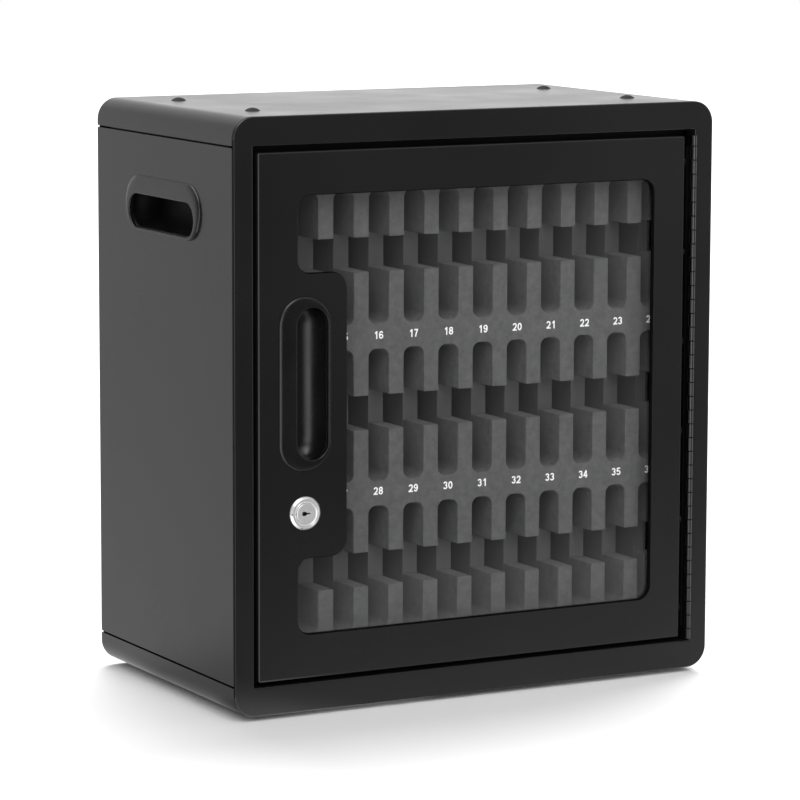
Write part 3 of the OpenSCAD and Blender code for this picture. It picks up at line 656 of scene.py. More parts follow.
grip = {"length": 126.3, "width": 41.3, "height": 2.5, "crown": 4.0, "mouthWidth": 25.0, "mouthLength": 110.0,
        "mouthShift": 5.6, "mouthRound": 0.3, "cupRadius": 17.0, "cupIn": 0.15, "cupOver": 5.0, "wall": 1.5,
        "cutGap": 0.2, "lip": 0.9, "hoodUnder": 1.0, "snapLength": 10.0, "snapIn": 28.0, "snapWidth": 2.7,
        "snapBite": 0.25, "snapGap": 0.1, "snapEdge": 0.4, "shadeSheetUnder": 0.4, "shadeSheetGaps": (0.05, 0.15)}
grip["cupX"] = grip["mouthShift"] + grip["mouthWidth"] / 2 - grip["cupRadius"] - grip["cupIn"]
grip["cupHalf"] = (grip["mouthLength"] + grip["cupOver"]) / 2 - grip["cupRadius"]
grip["cutRadius"] = grip["cupRadius"] + grip["wall"] + grip["cutGap"]
sideGripLow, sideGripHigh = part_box("left_carry_handle")
sideGripD = ((sideGripLow.y + sideGripHigh.y) / 2 - frontY) / mm
sideGripZ = ((sideGripLow.z + sideGripHigh.z) / 2 - underside) / mm


def addTabs(bm, side, outer, near, far, end):
    # a tab behind one seam of a side panel, joggled inwards so that the seam stays dark
    along = (cabinet["tabIn"], bodyDepth - cabinet["tabIn"])
    face, back = side * (halfWidth - sheet), side * (halfWidth - 2 * sheet)
    step = side * cabinet["joggle"]
    inner, web, deep = sorted((face, back)), sorted((face, back - step)), sorted((face - step, back - step))
    less, more = (math.copysign(cabinet["seam"], far - near) * part for part in cabinet["tabStep"])
    for across, run in ((inner, (outer, near - less)), (web, (near - more, near - less)),
                        (deep, (near - more, far + more)), (web, (far + less, far + more)),
                        (inner, (far + less, end))):
        bar(bm, across, along, sorted(run), sheetEdge["strip"])


def makeSidePanels():
    low, high = skirtBottom + cabinet["seam"], skirtTop - cabinet["seam"]
    for side, hand in ((-1, "left"), (1, "right")):
        node = hand + "_side_panel"
        bm = bmesh.new()

        def place(u, d, v):
            return at(side * (halfWidth - d), u, v)

        def outside(t):
            return roundedLoop(coverFront + t, bodyDepth - t, low + t, high - t, cabinet["panelCorner"], 2)

        def cup(t):
            points = capsuleLoop(0, 0, grip["cutRadius"] + t, grip["cupHalf"])
            return [(sideGripD - v, sideGripZ - grip["cupX"] - u) for u, v in points]

        shell(bm, place, [[outside, plainEdge, False], [cup, plainEdge, False]])
        bottom, top = span(node)[2]
        addTabs(bm, side, bottom, skirtBottom, low, low + cabinet["tabLap"])
        addTabs(bm, side, top, skirtTop, high, high - cabinet["tabLap"])
        panel = addPiece(hand + "SidePanel", bm, coat, "cabinet", [node])
        # painted shade: the tabs behind the seams get the near-black coat
        recoat(panel, shadeCoat, lambda c: abs(c.x) < (halfWidth - cabinet["tabShade"]) * mm)


wall = {"hole": 4.0, "holeIn": 50.0, "holeLow": 60.0, "holeHigh": 61.5}


def makeRearPanel():
    bm = bmesh.new()
    w, low, high = halfWidth - sheet, sheet, bodyHeight - sheet

    def place(u, d, v):
        return at(-u, bodyDepth - d, v)

    def outside(t):
        return roundedLoop(-w + t, w - t, low + t, high - t, cabinet["bend"] - sheet - t, 16)

    def hole(x, z):
        return lambda t: circleLoop(x, z, wall["hole"] + t)

    rims = [[outside, plainEdge, False]]
    for x in (-halfWidth + wall["holeIn"], halfWidth - wall["holeIn"]):
        for z in (wall["holeLow"], bodyHeight - wall["holeHigh"]):
            rims.append([hole(x, z), plainEdge, False])
    shell(bm, place, rims)
    strip, rimIn = sheetEdge["strip"], cabinet["rimIn"]
    rim = (bodyDepth - cabinet["rimDepth"], bodyDepth - sheet + strip)
    for side in (-1, 1):
        bar(bm, sorted((side * w, side * (w - sheet))), rim, (rimIn, bodyHeight - rimIn), strip)
    bar(bm, (-halfWidth + rimIn, halfWidth - rimIn), rim, (high - sheet, high), strip)
    addPiece("rearPanel", bm, coat, "cabinet", ["rear_panel"])


makeFrontFrame()
makeCovers()
makeSidePanels()
makeRearPanel()
print("cabinet shell made")


# Finger pulls: one shape, upright on the door and lying along each side

def cupRing(radius, degrees):
    # one level of a round trough with round ends
    turn = math.radians(degrees)
    width = max(radius * math.cos(turn), 0.0)
    return capsuleLoop(grip["cupX"], 0, width, grip["cupHalf"]), radius * math.sin(turn)


def gripMesh(place):
    bm = bmesh.new()
    half, flangeR = (grip["length"] - grip["width"]) / 2, grip["width"] / 2
    mouthR, mouthHalf = grip["mouthWidth"] / 2, (grip["mouthLength"] - grip["mouthWidth"]) / 2
    top, lip, shift = -grip["height"], grip["lip"], grip["mouthShift"]
    under = math.degrees(math.asin(grip["hoodUnder"] / grip["cupRadius"]))
    # inside of the cup, from its bottom line up to the hood
    rings = [cupRing(grip["cupRadius"], max(90 * (1 - k / 14), under)) for k in range(15)]
    rings.append((capsuleLoop(shift, 0, mouthR + grip["mouthRound"], mouthHalf), grip["hoodUnder"]))
    for rise, out in rolled(lip, 0, 4):  # mouth wall and its rounded lip
        rings.append((capsuleLoop(shift, 0, mouthR + out, mouthHalf), top + rise))
    inner = mouthR + lip
    for k in range(1, 17):  # the flange, flat by the mouth and falling ever faster to its rim
        share = math.sin(math.radians(90 * k / 16))
        fall = math.sqrt(max(1 - share ** grip["crown"], 0.0))
        rings.append((capsuleLoop(shift * (1 - share), 0, inner + (flangeR - inner) * share,
                                  mouthHalf + (half - mouthHalf) * share), top * fall))
    outerR = grip["cupRadius"] + grip["wall"]
    stack(bm, place, rings + [cupRing(outerR, 9 * k) for k in range(11)])
    width, length, gap = grip["snapWidth"] / 2, grip["snapLength"] / 2, grip["snapGap"]
    for side in (-1, 1):
        x = grip["cupX"] + side * (outerR - grip["snapBite"])
        for z in (-grip["snapIn"], grip["snapIn"]):
            deep = (sheet + gap, 3 * sheet + gap)
            bar(bm, (x - width, x + width), deep, (z - length, z + length), grip["snapEdge"], place)
    return bm


def pocketShadeSheet(place):
    # painted shade: a rough sheet, darker than the pull's own plastic, laid inside a carrying pull's pocket
    bm = bmesh.new()
    low = math.degrees(math.asin((grip["hoodUnder"] + grip["shadeSheetUnder"]) / grip["cupRadius"]))
    near, far = ([cupRing(grip["cupRadius"] - gap, low + (90 - low) * k / 12) for k in range(13)]
                 for gap in grip["shadeSheetGaps"])
    rings = near + far[::-1]
    stack(bm, place, rings + rings[:1])
    return bm


doorGrip = span("door_handle")
gripX, gripZ = sum(doorGrip[0]) / 2, sum(doorGrip[2]) / 2


def makeGrips():
    bm = gripMesh(lambda u, d, v: at(gripX + u, d, gripZ + v))
    addPiece("doorPull", bm, plastic, "door", ["door_handle"], 50.0)
    for side, hand in ((-1, "left"), (1, "right")):
        def place(u, d, v):
            return at(side * (halfWidth - d), sideGripD - v, sideGripZ - u)

        name, node = hand + "CarryPull", hand + "_carry_handle"
        addPiece(name, gripMesh(place), plastic, "cabinet", [node], 50.0)
        addPiece(name + "Lining", pocketShadeSheet(place), pocketShadePlastic, "cabinet", (), 50.0)


makeGrips()
print("pulls made")


# Door

door = {"foldRadius": 2.0, "foldBack": 0.8, "lip": 5.0, "windowEdge": 0.15, "paneLap": 10.0, "paneEdge": 0.4,
        "windowCorner": 10.5, "tongueCorner": 12.0, "tongueReach": 39.7, "tongueHeight": 205.0,
        "gasketIn": -0.8, "gasketLap": 9.0, "gasketEdge": 0.3, "cutEdge": 0.2, "lockBody": 9.5, "lockGap": 0.1}
paneX, paneD, paneZ = span("door_window")
winLeft, winRight = paneX[0] + door["paneLap"], paneX[1] - door["paneLap"]
winLow, winHigh = paneZ[0] + door["paneLap"], paneZ[1] - door["paneLap"]
winMid = (winLow + winHigh) / 2
lockX, lockZ = (sum(span("lock_housing")[axis]) / 2 for axis in (0, 2))


def windowLoop(g):
    # the window opening grown by g, with the solid tongue at its left
    x0, x1, z0, z1 = winLeft - g, winRight + g, winLow - g, winHigh + g
    full, tongue = door["windowCorner"] + g, max(door["tongueCorner"] - g, 1.0)
    tip = winLeft + door["tongueReach"] - g
    low, high = winMid - door["tongueHeight"] / 2 + g, winMid + door["tongueHeight"] / 2 - g

    def corner(x, z, r, start, sweep=90):
        return arc(x, z, r, start, start + sweep, 8)

    points = corner(x0 + full, z0 + full, full, 180) + corner(x1 - full, z0 + full, full, 270)
    points += corner(x1 - full, z1 - full, full, 0) + corner(x0 + full, z1 - full, full, 90)
    points += corner(x0 + full, high + full, full, 180) + corner(tip - tongue, high - tongue, tongue, 90, -90)
    points += corner(tip - tongue, low + tongue, tongue, 0, -90) + corner(x0 + full, low - full, full, 90)
    return points


def makeDoorPanel():
    bm = bmesh.new()
    fold, deep, lip, cut = door["foldRadius"], doorDeep, door["lip"] + sheet, door["cutEdge"]

    def outside(t):
        return roundedLoop(doorLeft + t, doorRight - t, doorLow + t, doorHigh - t, fold - t, 8)

    def cup(t):
        return capsuleLoop(gripX + grip["cupX"], gripZ, grip["cutRadius"] + t, grip["cupHalf"])

    def bore(t):
        return circleLoop(lockX, lockZ, door["lockBody"] + door["lockGap"] + t)

    folded = rolled(fold, 0, 8) + rolledBack(door["foldBack"], deep, 4)
    folded += [(lip, deep), (lip, deep - sheet), (sheet, deep - sheet), (sheet, sheet)]
    window = rolled(door["windowEdge"], 0, 3) + rolledBack(cut, sheet, 2)
    hole = rolled(cut, 0, 2) + rolledBack(cut, sheet, 2)
    rims = [[outside, folded, False], [windowLoop, window, False], [cup, hole, False], [bore, hole, False]]
    shell(bm, at, rims)
    addPiece("doorPanel", bm, coat, "door", ["door_panel"])


def makeGasket():
    bm = bmesh.new()
    soft = rolled(door["gasketEdge"], sheet, 2) + rolledBack(door["gasketEdge"], paneD[0], 2)
    shell(bm, at, [
        [lambda t: windowLoop(door["gasketLap"] - t), soft, False],
        [lambda t: windowLoop(door["gasketIn"] + t), soft, False],
    ])
    addPiece("windowGasket", bm, shadedSealRubber, "door", ["window_gasket"])


def makePaneMesh():
    bm = bmesh.new()
    edge = rolled(door["paneEdge"], paneD[0], 2) + rolledBack(door["paneEdge"], paneD[1], 2)
    shell(bm, at, [[lambda t: windowLoop(door["paneLap"] - t), edge, False]])
    addPiece("windowPane", bm, pane, "door", ["door_window"])


def dressNode(node, name, material, bevel):
    # a copy of a CAD solid with its edges broken
    bm = bmesh.new()
    bm.from_mesh(nodes[node].data)
    bmesh.ops.remove_doubles(bm, verts=bm.verts, dist=1e-6)
    bmesh.ops.dissolve_limit(bm, angle_limit=math.radians(0.6), verts=bm.verts, edges=bm.edges)
    addPiece(name, bm, material, nodes[node]["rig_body"], [node], 35.0, bevel, None)


makeDoorPanel()
makeGasket()
makePaneMesh()
# the hinge angle shows only in the gap and inside, so it gets the near-black coat as painted shade
dressNode("door_hinge_angle", "doorHingeAngle", shadeCoat, 0.25)
print("door made")


# Lock

lock = {"flange": 12.2, "bevel": 1.5, "face": 2.6, "groove": 9.15, "plug": 7.6, "plugGap": 0.08,
        "plugProud": 0.3, "plugEdge": 0.5, "plugBack": 0.3, "square": 4.0, "camRest": 15.0, "keyLength": 7.8,
        "keyHeight": 2.9, "keyDepth": 3.4, "keyEdge": 0.3, "shoulder": 1.35,
        "shoulderRound": 0.75, "neckFrom": -0.2, "neckTo": 0.5, "neck": 0.62, "bladeIn": 0.9, "blade": 0.4,
        "tipIn": 0.8, "tip": 0.36, "shadeFrom": 0.5, "shadeGap": 0.06, "shadeFloor": 0.02,
        "marks": [(180, 11.0, 0.75), (180, 8.45, 0.35), (252, 11.0, 0.6)]}  # each [turn, distance out, radius]
camFront, camBack = span("lock_cam")[1]


def makeLock():
    bm = bmesh.new()
    face, r, body = -lock["face"], lock["flange"], door["lockBody"]
    bore, groove, slope = lock["plug"] + lock["plugGap"], lock["groove"], r - lock["bevel"]
    # bore, dished ring, groove, flat ring, sloping rim, and the body behind the door
    profile = [(bore, camFront - 0.6), (bore, face + 1.3), (bore + 0.15, face + 1.0)]
    profile += [(groove - 0.45, face + 0.2), (groove - 0.2, face + 0.12), (groove - 0.05, face + 0.25)]
    profile += [(groove, face + 1.6), (groove + 0.4, face + 1.6), (groove + 0.45, face + 0.15)]
    profile += [(groove + 0.6, face), (slope - 0.15, face), (slope + 0.1, face + 0.08)]
    profile += [(r - 0.35, face + 1.35), (r - 0.08, face + 1.7), (r, face + 2.0), (r, -0.15), (r - 0.2, 0)]
    profile += [(body, 0), (body, camFront - 0.9), (body - 0.3, camFront - 0.6), (bore, camFront - 0.6)]
    turned(bm, at, profile, 24, lockX, lockZ)
    addPiece("lockHousing", bm, chrome, "door", ["lock_housing"], 30.0)
    marks = bmesh.new()
    for turn, out, size in lock["marks"]:
        x, z = lockX + out * math.cos(math.radians(turn)), lockZ + out * math.sin(math.radians(turn))
        deep = face if out < slope else face + 1.35 * (out - slope) / (r - slope)
        profile = [(0.0, -0.06), (size * 0.7, -0.05), (size, 0.04), (size, 0.5), (0.0, 0.5)]
        turned(marks, at, [(w, deep + d) for w, d in profile], 5, x, z)
    addPiece("keyMarks", marks, darkSteelAndShade, "door", (), 30.0)


def keyway(t):
    # tall at the left, where the key's shoulder sits, and drawn to a narrow slot at the right
    half, rise, r = lock["keyLength"] / 2, lock["keyHeight"] / 2, lock["shoulderRound"]
    left, right = lockX - half + lock["shoulder"], lockX + half
    upper = [(lockX + lock["neckFrom"], rise), (lockX + lock["neckTo"], lock["neck"])]
    upper.append((right - lock["bladeIn"], lock["blade"]))
    points = arc(left, lockZ - rise + r, r, 270, 180, 5) + arc(left, lockZ + rise - r, r, 180, 90, 5)
    points += [(x, lockZ + z) for x, z in upper] + arc(right - lock["tipIn"], lockZ, lock["tip"], 75, -75, 5)
    points += [(x, lockZ - z) for x, z in reversed(upper)]
    return insetLoop(points[::-1], -t)


def makePlug():
    bm = bmesh.new()
    front, back = -lock["face"] - lock["plugProud"], lock["plugBack"]
    floor = front + lock["keyDepth"]

    def outside(t):
        return circleLoop(lockX, lockZ, lock["plug"] - t, 24)

    shell(bm, at, [
        [outside, rolled(lock["plugEdge"], front, 4) + rolledBack(back, camFront - back, 2), False],
        [keyway, rolled(lock["keyEdge"], front, 3) + [(0, floor)], True],
    ])
    rest = Matrix.Rotation(math.radians(lock["camRest"]), 4, "Y")

    def withCam(x, d, z):
        return at(lockX, 0, lockZ) + rest @ local(x, d, z)

    across = (-lock["square"], lock["square"])
    bar(bm, across, (camFront - 1, camBack), across, 0.3, withCam)
    addPiece("lockPlug", bm, chrome, "lock", ["lock_plug"], 30.0)
    # painted shade: a near-black sheet lining the keyway, standing in for the shade inside the keyhole
    keywayShadeSheet = bmesh.new()
    deep = [(0, front + lock["shadeFrom"]), (0, floor - lock["shadeFloor"])]
    shell(keywayShadeSheet, at, [[lambda t: keyway(lock["shadeGap"] + t), deep, False]])
    addPiece("keywayInside", keywayShadeSheet, darkSteelAndShade, "lock", (), 30.0)


makeLock()
makePlug()
dressNode("lock_washer", "lockWasher", zinc, 0.15)
dressNode("lock_nut", "lockNut", zinc, 0.3)
dressNode("lock_cam", "lockCam", zinc, 0.3)
dressNode("cam_screw", "camScrew", zinc, 0.25)
print("lock made")


# Hinge: two leaves, their rolled knuckles and the pin

hinge = {"radius": 1.79, "leaf": 1.0, "pitch": 10.5, "count": 35, "gap": 0.3, "joint": 0.85, "roll": 318.0,
         "edge": 0.12, "relief": 0.6, "trim": 0.2, "deepFrom": 0.3, "pin": 0.88, "pinTip": 0.6,
         "pinChamfer": 0.3}
rivet = {"hole": 1.65, "endIn": 24.7, "count": 6, "depth": 8.0}
pinX, pinD, pinZ = span("hinge_pin")
axisX, axisD = sum(pinX) / 2, sum(pinD) / 2
leafBack = span("hinge_frame_leaf")[1][1]
barrelLow, barrelHigh = (z + side * hinge["gap"] / 2 for z, side in zip(span("hinge_door_leaf")[2], (-1, 1)))
endKnuckle = (barrelHigh - barrelLow - hinge["count"] * hinge["pitch"]) / 2
rivetStep = (openHigh - openLow - 2 * rivet["endIn"]) / (rivet["count"] - 1)
rivetHeights = [openLow + rivet["endIn"] + k * rivetStep for k in range(rivet["count"])]


def makeKnuckleTree():
    inputs = [("Roll Radius", "Float"), ("Thickness", "Float"), ("Length", "Float"), ("Step", "Float"),
              ("Count", "Int"), ("Roll", "Float"), ("Start", "Float"), ("Finish", "Material")]
    tree, given, out = newTree("rolledKnuckles", inputs)
    roll = addNode(tree, "GeometryNodeCurveArc", mode="RADIUS", Resolution=33, Radius=given["Roll Radius"],
                   Start_Angle=given["Start"], Sweep_Angle=given["Roll"])
    strip = addNode(tree, "GeometryNodeCurvePrimitiveQuadrilateral", mode="RECTANGLE",
                    Width=given["Thickness"], Height=given["Length"])
    solid = addNode(tree, "GeometryNodeCurveToMesh", Curve=roll.outputs["Curve"],
                    Profile_Curve=strip.outputs["Curve"], Fill_Caps=True)
    row = rowOfCopies(tree, solid.outputs["Mesh"], given["Count"], "Z", given["Step"])
    return closeTree(tree, row, given["Finish"], out)


knuckleTree = makeKnuckleTree()


def addKnuckles(bm, first, count, length, start, sweep):
    # rolled strips round the pin, every other place along the barrel
    rolls = runTree("knuckles", knuckleTree, {
        "Roll Radius": (hinge["radius"] - hinge["leaf"] / 2) * mm, "Thickness": hinge["leaf"] * mm,
        "Length": (length - hinge["joint"]) * mm, "Step": 2 * hinge["pitch"] * mm, "Count": count,
        "Roll": math.radians(sweep), "Start": math.radians(start), "Finish": hingeCoat})
    bmesh.ops.translate(rolls, verts=rolls.verts, vec=at(axisX, axisD, first + length / 2))
    mesh = toMesh("rolls", rolls)
    bm.from_mesh(mesh)
    bpy.data.meshes.remove(mesh)


def leafOutline(low, high, parity):
    # the flat of a leaf from the side, with a tooth under each of its knuckles
    root = axisD + hinge["radius"] + hinge["relief"]
    teeth = []
    for k in range(parity, hinge["count"] + 2, 2):
        z = barrelLow if k == 0 else barrelLow + endKnuckle + (k - 1) * hinge["pitch"]
        length = endKnuckle if k in (0, hinge["count"] + 1) else hinge["pitch"]
        teeth.append((max(z + hinge["gap"] / 2, low), min(z + length - hinge["gap"] / 2, high)))
    outline = [(leafBack, low), (leafBack, high), (root, high)]
    for z0, z1 in reversed(teeth):
        outline += [(root, z1), (axisD, z1), (axisD, z0), (root, z0)]
    outline.append((root, low))
    return [p for k, p in enumerate(outline) if (Vector(p) - Vector(outline[k - 1])).length > 1e-6]


def leafPlate(outer, side, low, high, parity):
    # drawn from its outer face inwards, with its rivet holes
    bm = bmesh.new()
    outline, edge, leaf = leafOutline(low, high, parity), hinge["edge"], hinge["leaf"]

    def place(u, d, v):
        return at(outer + side * d, u, v)

    def hole(z):
        return lambda t: circleLoop(rivet["depth"], z, rivet["hole"] + t, 6)

    plain = [(edge, 0), (0, edge), (0, leaf - edge), (edge, leaf)]
    rims = [[lambda t: insetLoop(outline, t), plain, False]]
    shell(bm, place, rims + [[hole(z), [(0, 0), (0, leaf)], False] for z in rivetHeights])
    return bm


def addLeaf(name, bm, body, node):
    # the flat of a leaf lies deep beside the door; its faces deep in the hinge gap get the near-black coat as
    # painted shade
    deep = frontY + (axisD + hinge["deepFrom"]) * mm
    leaf = addPiece(name, bm, hingeCoat, body, [node], 30.0, None, None)
    recoat(leaf, shadeCoat, lambda c: c.y > deep)


def makeHinge():
    r, pitch, count, trim = hinge["radius"], hinge["pitch"], hinge["count"], hinge["trim"]
    low, high = barrelLow + endKnuckle, barrelHigh - endKnuckle
    bm = leafPlate(axisX + r, -1, low + trim, high - trim, 1)
    addKnuckles(bm, low, (count + 1) // 2, pitch, 0, -hinge["roll"])
    addLeaf("hingeFrameLeaf", bm, "cabinet", "hinge_frame_leaf")
    bm = leafPlate(axisX - r, 1, barrelLow + trim, barrelHigh - trim, 0)
    addKnuckles(bm, low + pitch, (count - 1) // 2, pitch, 180, hinge["roll"])
    for z in (barrelLow, high):
        addKnuckles(bm, z, 1, endKnuckle, 180, hinge["roll"])
    addLeaf("hingeDoorLeaf", bm, "door", "hinge_door_leaf")
    bm = bmesh.new()
    (low, high), r, tip, chamfer = pinZ, hinge["pin"], hinge["pinTip"], hinge["pinChamfer"]
    profile = [(0.0, low), (tip, low), (r, low + chamfer), (r, high - chamfer), (tip, high), (0.0, high)]
    turned(bm, lambda u, d, v: at(axisX + u, axisD + v, d), profile, 8)
    # the pin is near black so that it reads as painted shade in the gaps between the knuckles
    addPiece("hingePin", bm, darkSteelAndShade, "cabinet", ["hinge_pin"], 50.0)


def rivetModel():
    # shank along x, domed head at its far end
    bm = bmesh.new()
    profile = [(0.0, 0.0), (1.3, 0.0), (1.6, 0.15), (1.6, 2.5)]
    profile += [(3.0, 2.5), (2.9, 2.95), (2.3, 3.4), (1.2, 3.66), (0.0, 3.7)]
    turned(bm, lambda u, d, v: local(d, u, v), profile, 6)
    return bm


def makeRivets():
    inner = hinge["radius"] - hinge["leaf"]
    for name, part, x, turn, body in (("hingeFrameRivets", "frame", axisX + inner, 0, "cabinet"),
                                      ("hingeDoorRivets", "door", axisX - inner, math.pi, "door")):
        places = [(at(x, rivet["depth"], z), (0, 0, turn)) for z in rivetHeights]
        bm = copiesAt(name, rivetModel(), places, hingeCoat)
        addPiece(name, bm, hingeCoat, body, ["hinge_" + part + "_rivets"])


makeHinge()
makeRivets()
print("hinge made")


# Foam: a slotted front in four strips and the slotted block behind

slots = {"width": 16.6, "pitch": 29.0, "count": 12, "corner": 6.0, "edge": 0.7, "coreEdge": 0.5,
         "backEdge": 0.6, "cutter": 0.4}  # the last is the cutter's length in metres
rowNodes = ("foam_dividers_bottom_row", "foam_dividers_middle_row", "foam_dividers_top_row")
rowSpans = [span(node)[2] for node in rowNodes]
firstStep = (1 - slots["count"]) / 2


def makeFoamTree():
    # cuts one row of rounded slots out of the foam it is given
    inputs = [("Slot Width", "Float"), ("Slot Height", "Float"), ("Corner", "Float"), ("Pitch", "Float"),
              ("Slots", "Int"), ("First", "Vector"), ("Finish", "Material")]
    tree, given, out = newTree("slottedFoam", inputs)
    outline = addNode(tree, "GeometryNodeCurvePrimitiveQuadrilateral", mode="RECTANGLE",
                      Width=given["Slot Width"], Height=given["Slot Height"])
    soft = addNode(tree, "GeometryNodeFilletCurve", mode="POLY", Count=9, Curve=outline.outputs["Curve"],
                   Radius=given["Corner"])
    flat = addNode(tree, "GeometryNodeFillCurve", mode="NGONS", Curve=soft.outputs["Curve"]).outputs["Mesh"]
    push = addNode(tree, "GeometryNodeExtrudeMesh", mode="FACES", Individual=False,
                   Offset_Scale=slots["cutter"], Mesh=flat)
    flip = addNode(tree, "GeometryNodeFlipFaces", Mesh=flat)
    both = addNode(tree, "GeometryNodeJoinGeometry", Geometry=push.outputs["Mesh"])
    feed(tree, both.inputs["Geometry"], flip.outputs["Mesh"])
    whole = addNode(tree, "GeometryNodeMergeByDistance", Distance=0.000001, Geometry=both.outputs["Geometry"])
    middle = addNode(tree, "GeometryNodeTransform", Translation=(0.0, 0.0, -slots["cutter"] / 2),
                     Geometry=whole.outputs["Geometry"])
    cutter = addNode(tree, "GeometryNodeTransform", Rotation=(math.radians(90), 0.0, 0.0),
                     Geometry=middle.outputs["Geometry"])
    row = rowOfCopies(tree, cutter.outputs["Geometry"], given["Slots"], "X", given["Pitch"], given["First"])
    real = addNode(tree, "GeometryNodeRealizeInstances", Geometry=row)
    cut = addNode(tree, "GeometryNodeMeshBoolean", operation="DIFFERENCE", solver="EXACT")
    feed(tree, cut.inputs["Mesh 1"], given["Geometry"])
    feed(tree, cut.inputs["Mesh 2"], real.outputs["Geometry"])
    return closeTree(tree, cut.outputs["Mesh"], given["Finish"], out)


foamTree = makeFoamTree()


def slottedFoam(name, node, stands, edge):
    x, d, z = span(node)
    block = bmesh.new()
    bar(block, x, d, z, 0)
    cuts = []
    for low, high in rowSpans:
        if low < z[1] and high > z[0]:
            first = at(firstStep * slots["pitch"], sum(d) / 2, (low + high) / 2)
            cuts.append({"Slot Width": slots["width"] * mm, "Slot Height": (high - low) * mm,
                         "Corner": slots["corner"] * mm, "Pitch": slots["pitch"] * mm,
                         "Slots": slots["count"], "First": first, "Finish": foam})
    bm = runTree(name, foamTree, cuts, toMesh(name + "Block", block))
    bmesh.ops.remove_doubles(bm, verts=bm.verts, dist=1e-6)
    bmesh.ops.dissolve_limit(bm, angle_limit=math.radians(0.5), verts=bm.verts, edges=bm.edges)
    addPiece(name, bm, foam, "cabinet", stands, 40.0, edge)


def makeFoamBlock():
    for place in ("top", "upper", "lower", "bottom"):
        node = "foam_comb_" + place
        slottedFoam("foamStrip" + place.title(), node, [node], slots["edge"])
    slottedFoam("foamCore", "foam_shelves", [*rowNodes, "foam_shelves"], slots["coreEdge"])
    dressNode("foam_backing", "foamBacking", foam, slots["backEdge"])


makeFoamBlock()
print("foam made")


# Numbers, in thin solid strokes

numbers = {"height": 5.75, "above": 10.4, "advance": 4.2, "stroke": 1.0, "wide": 1.08, "proud": 0.05,
           "back": 0.02, "layer": 0.004, "pitch": 29.12, "lean": -0.15, "shift": (-0.2, -0.55, 0.43)}
# centre lines of the digits, in parts of their height
digitLines = {
    "0": [bow(0, 0.5, 0.21, 0.41, 90, 450)],
    "1": [[(0.09, 0), (0.09, 1)], [(-0.15, 0.72), (-0.04, 0.78), (0.09, 0.95)]],
    "2": [bow(0, 0.68, 0.2, 0.23, 170, -20) + [(0.1, 0.4), (-0.07, 0.24), (-0.2, 0.08)],
          [(-0.29, 0.09), (0.29, 0.09)]],
    "3": [bow(-0.01, 0.71, 0.19, 0.2, 165, -90), bow(-0.01, 0.3, 0.21, 0.21, 90, -165)],
    "4": [[(0.1, 0), (0.1, 1)], [(0.08, 0.93), (-0.22, 0.34)], [(-0.29, 0.3), (0.29, 0.3)]],
    "5": [[(-0.19, 0.91), (0.24, 0.91)], [(-0.15, 0.93), (-0.19, 0.47)],
          bow(-0.01, 0.33, 0.22, 0.24, 140, -160)],
    "6": [bow(0.01, 0.5, 0.22, 0.41, 35, 180) + [(-0.21, 0.3)], bow(0, 0.32, 0.21, 0.23, 0, 360)],
    "7": [[(-0.26, 0.91), (0.22, 0.91)], [(0.18, 0.9), (0.05, 0.62), (-0.05, 0.3), (-0.08, 0)]],
    "8": [bow(0, 0.72, 0.18, 0.19, 0, 360), bow(0, 0.3, 0.21, 0.21, 0, 360)],
}
digitLines["9"] = [[(-x, 1 - z) for x, z in line] for line in digitLines["6"]]


def inkLine(bm, points, half, front, back):
    # a thin solid stripe along the points, closed on itself where they end at their start
    line = [Vector(p) for p in points]
    closed = (line[0] - line[-1]).length < 1e-4
    if closed:
        line.pop()
    rings = []
    for k, p in enumerate(line):
        before = line[k - 1] if k or closed else p
        after = line[(k + 1) % len(line)] if k + 1 < len(line) or closed else p
        along = ((p - before).normalized() + (after - p).normalized()).normalized()
        out = Vector((-along.y, along.x)) * half
        section = ((p + out, front), (p - out, front), (p - out, back), (p + out, back))
        rings.append([bm.verts.new(at(q.x, d, q.y)) for q, d in section])
    for first, second in zip(rings, rings[1:] + rings[:1] if closed else rings[1:]):
        bridge(bm, first, second)
    if not closed:
        bm.faces.new(rings[0])
        bm.faces.new(rings[-1][::-1])


def makeNumbers():
    bm = bmesh.new()
    faceD, tall, half = span("foam_comb_top")[1][0], numbers["height"], numbers["stroke"] / 2
    for row, (_, high) in enumerate(reversed(rowSpans)):
        for k in range(slots["count"]):
            x, lean = (k + firstStep) * numbers["pitch"], (k + firstStep) * numbers["lean"]
            low = high + numbers["above"] + numbers["shift"][row] + lean - tall / 2
            digits = str(row * slots["count"] + k + 1)
            for place, digit in enumerate(digits):
                left = x + (place - (len(digits) - 1) / 2) * numbers["advance"]
                for layer, line in enumerate(digitLines[digit]):
                    points = [(left + u * tall * numbers["wide"], low + v * tall) for u, v in line]
                    front = faceD - numbers["proud"] - numbers["layer"] * layer
                    inkLine(bm, points, half, front, faceD + numbers["back"])
    addPiece("slotNumbers", bm, ink, "cabinet", merge=1e-7)


makeNumbers()
print("numbers made")


# Small parts

small = {"plugDome": 8.2, "plugRim": 5.7, "plugHeight": 2.3, "plugStem": 3.9, "footRadius": 8.0,
         "nutRadius": 4.0, "nutGap": 0.05, "studRadius": 2.0, "threadRoot": 1.72, "threadPitch": 0.7,
         "padLength": 24.0, "padHigh": 4.5, "padPress": 2.0, "padEdge": 0.4, "stopEdge": 0.25}


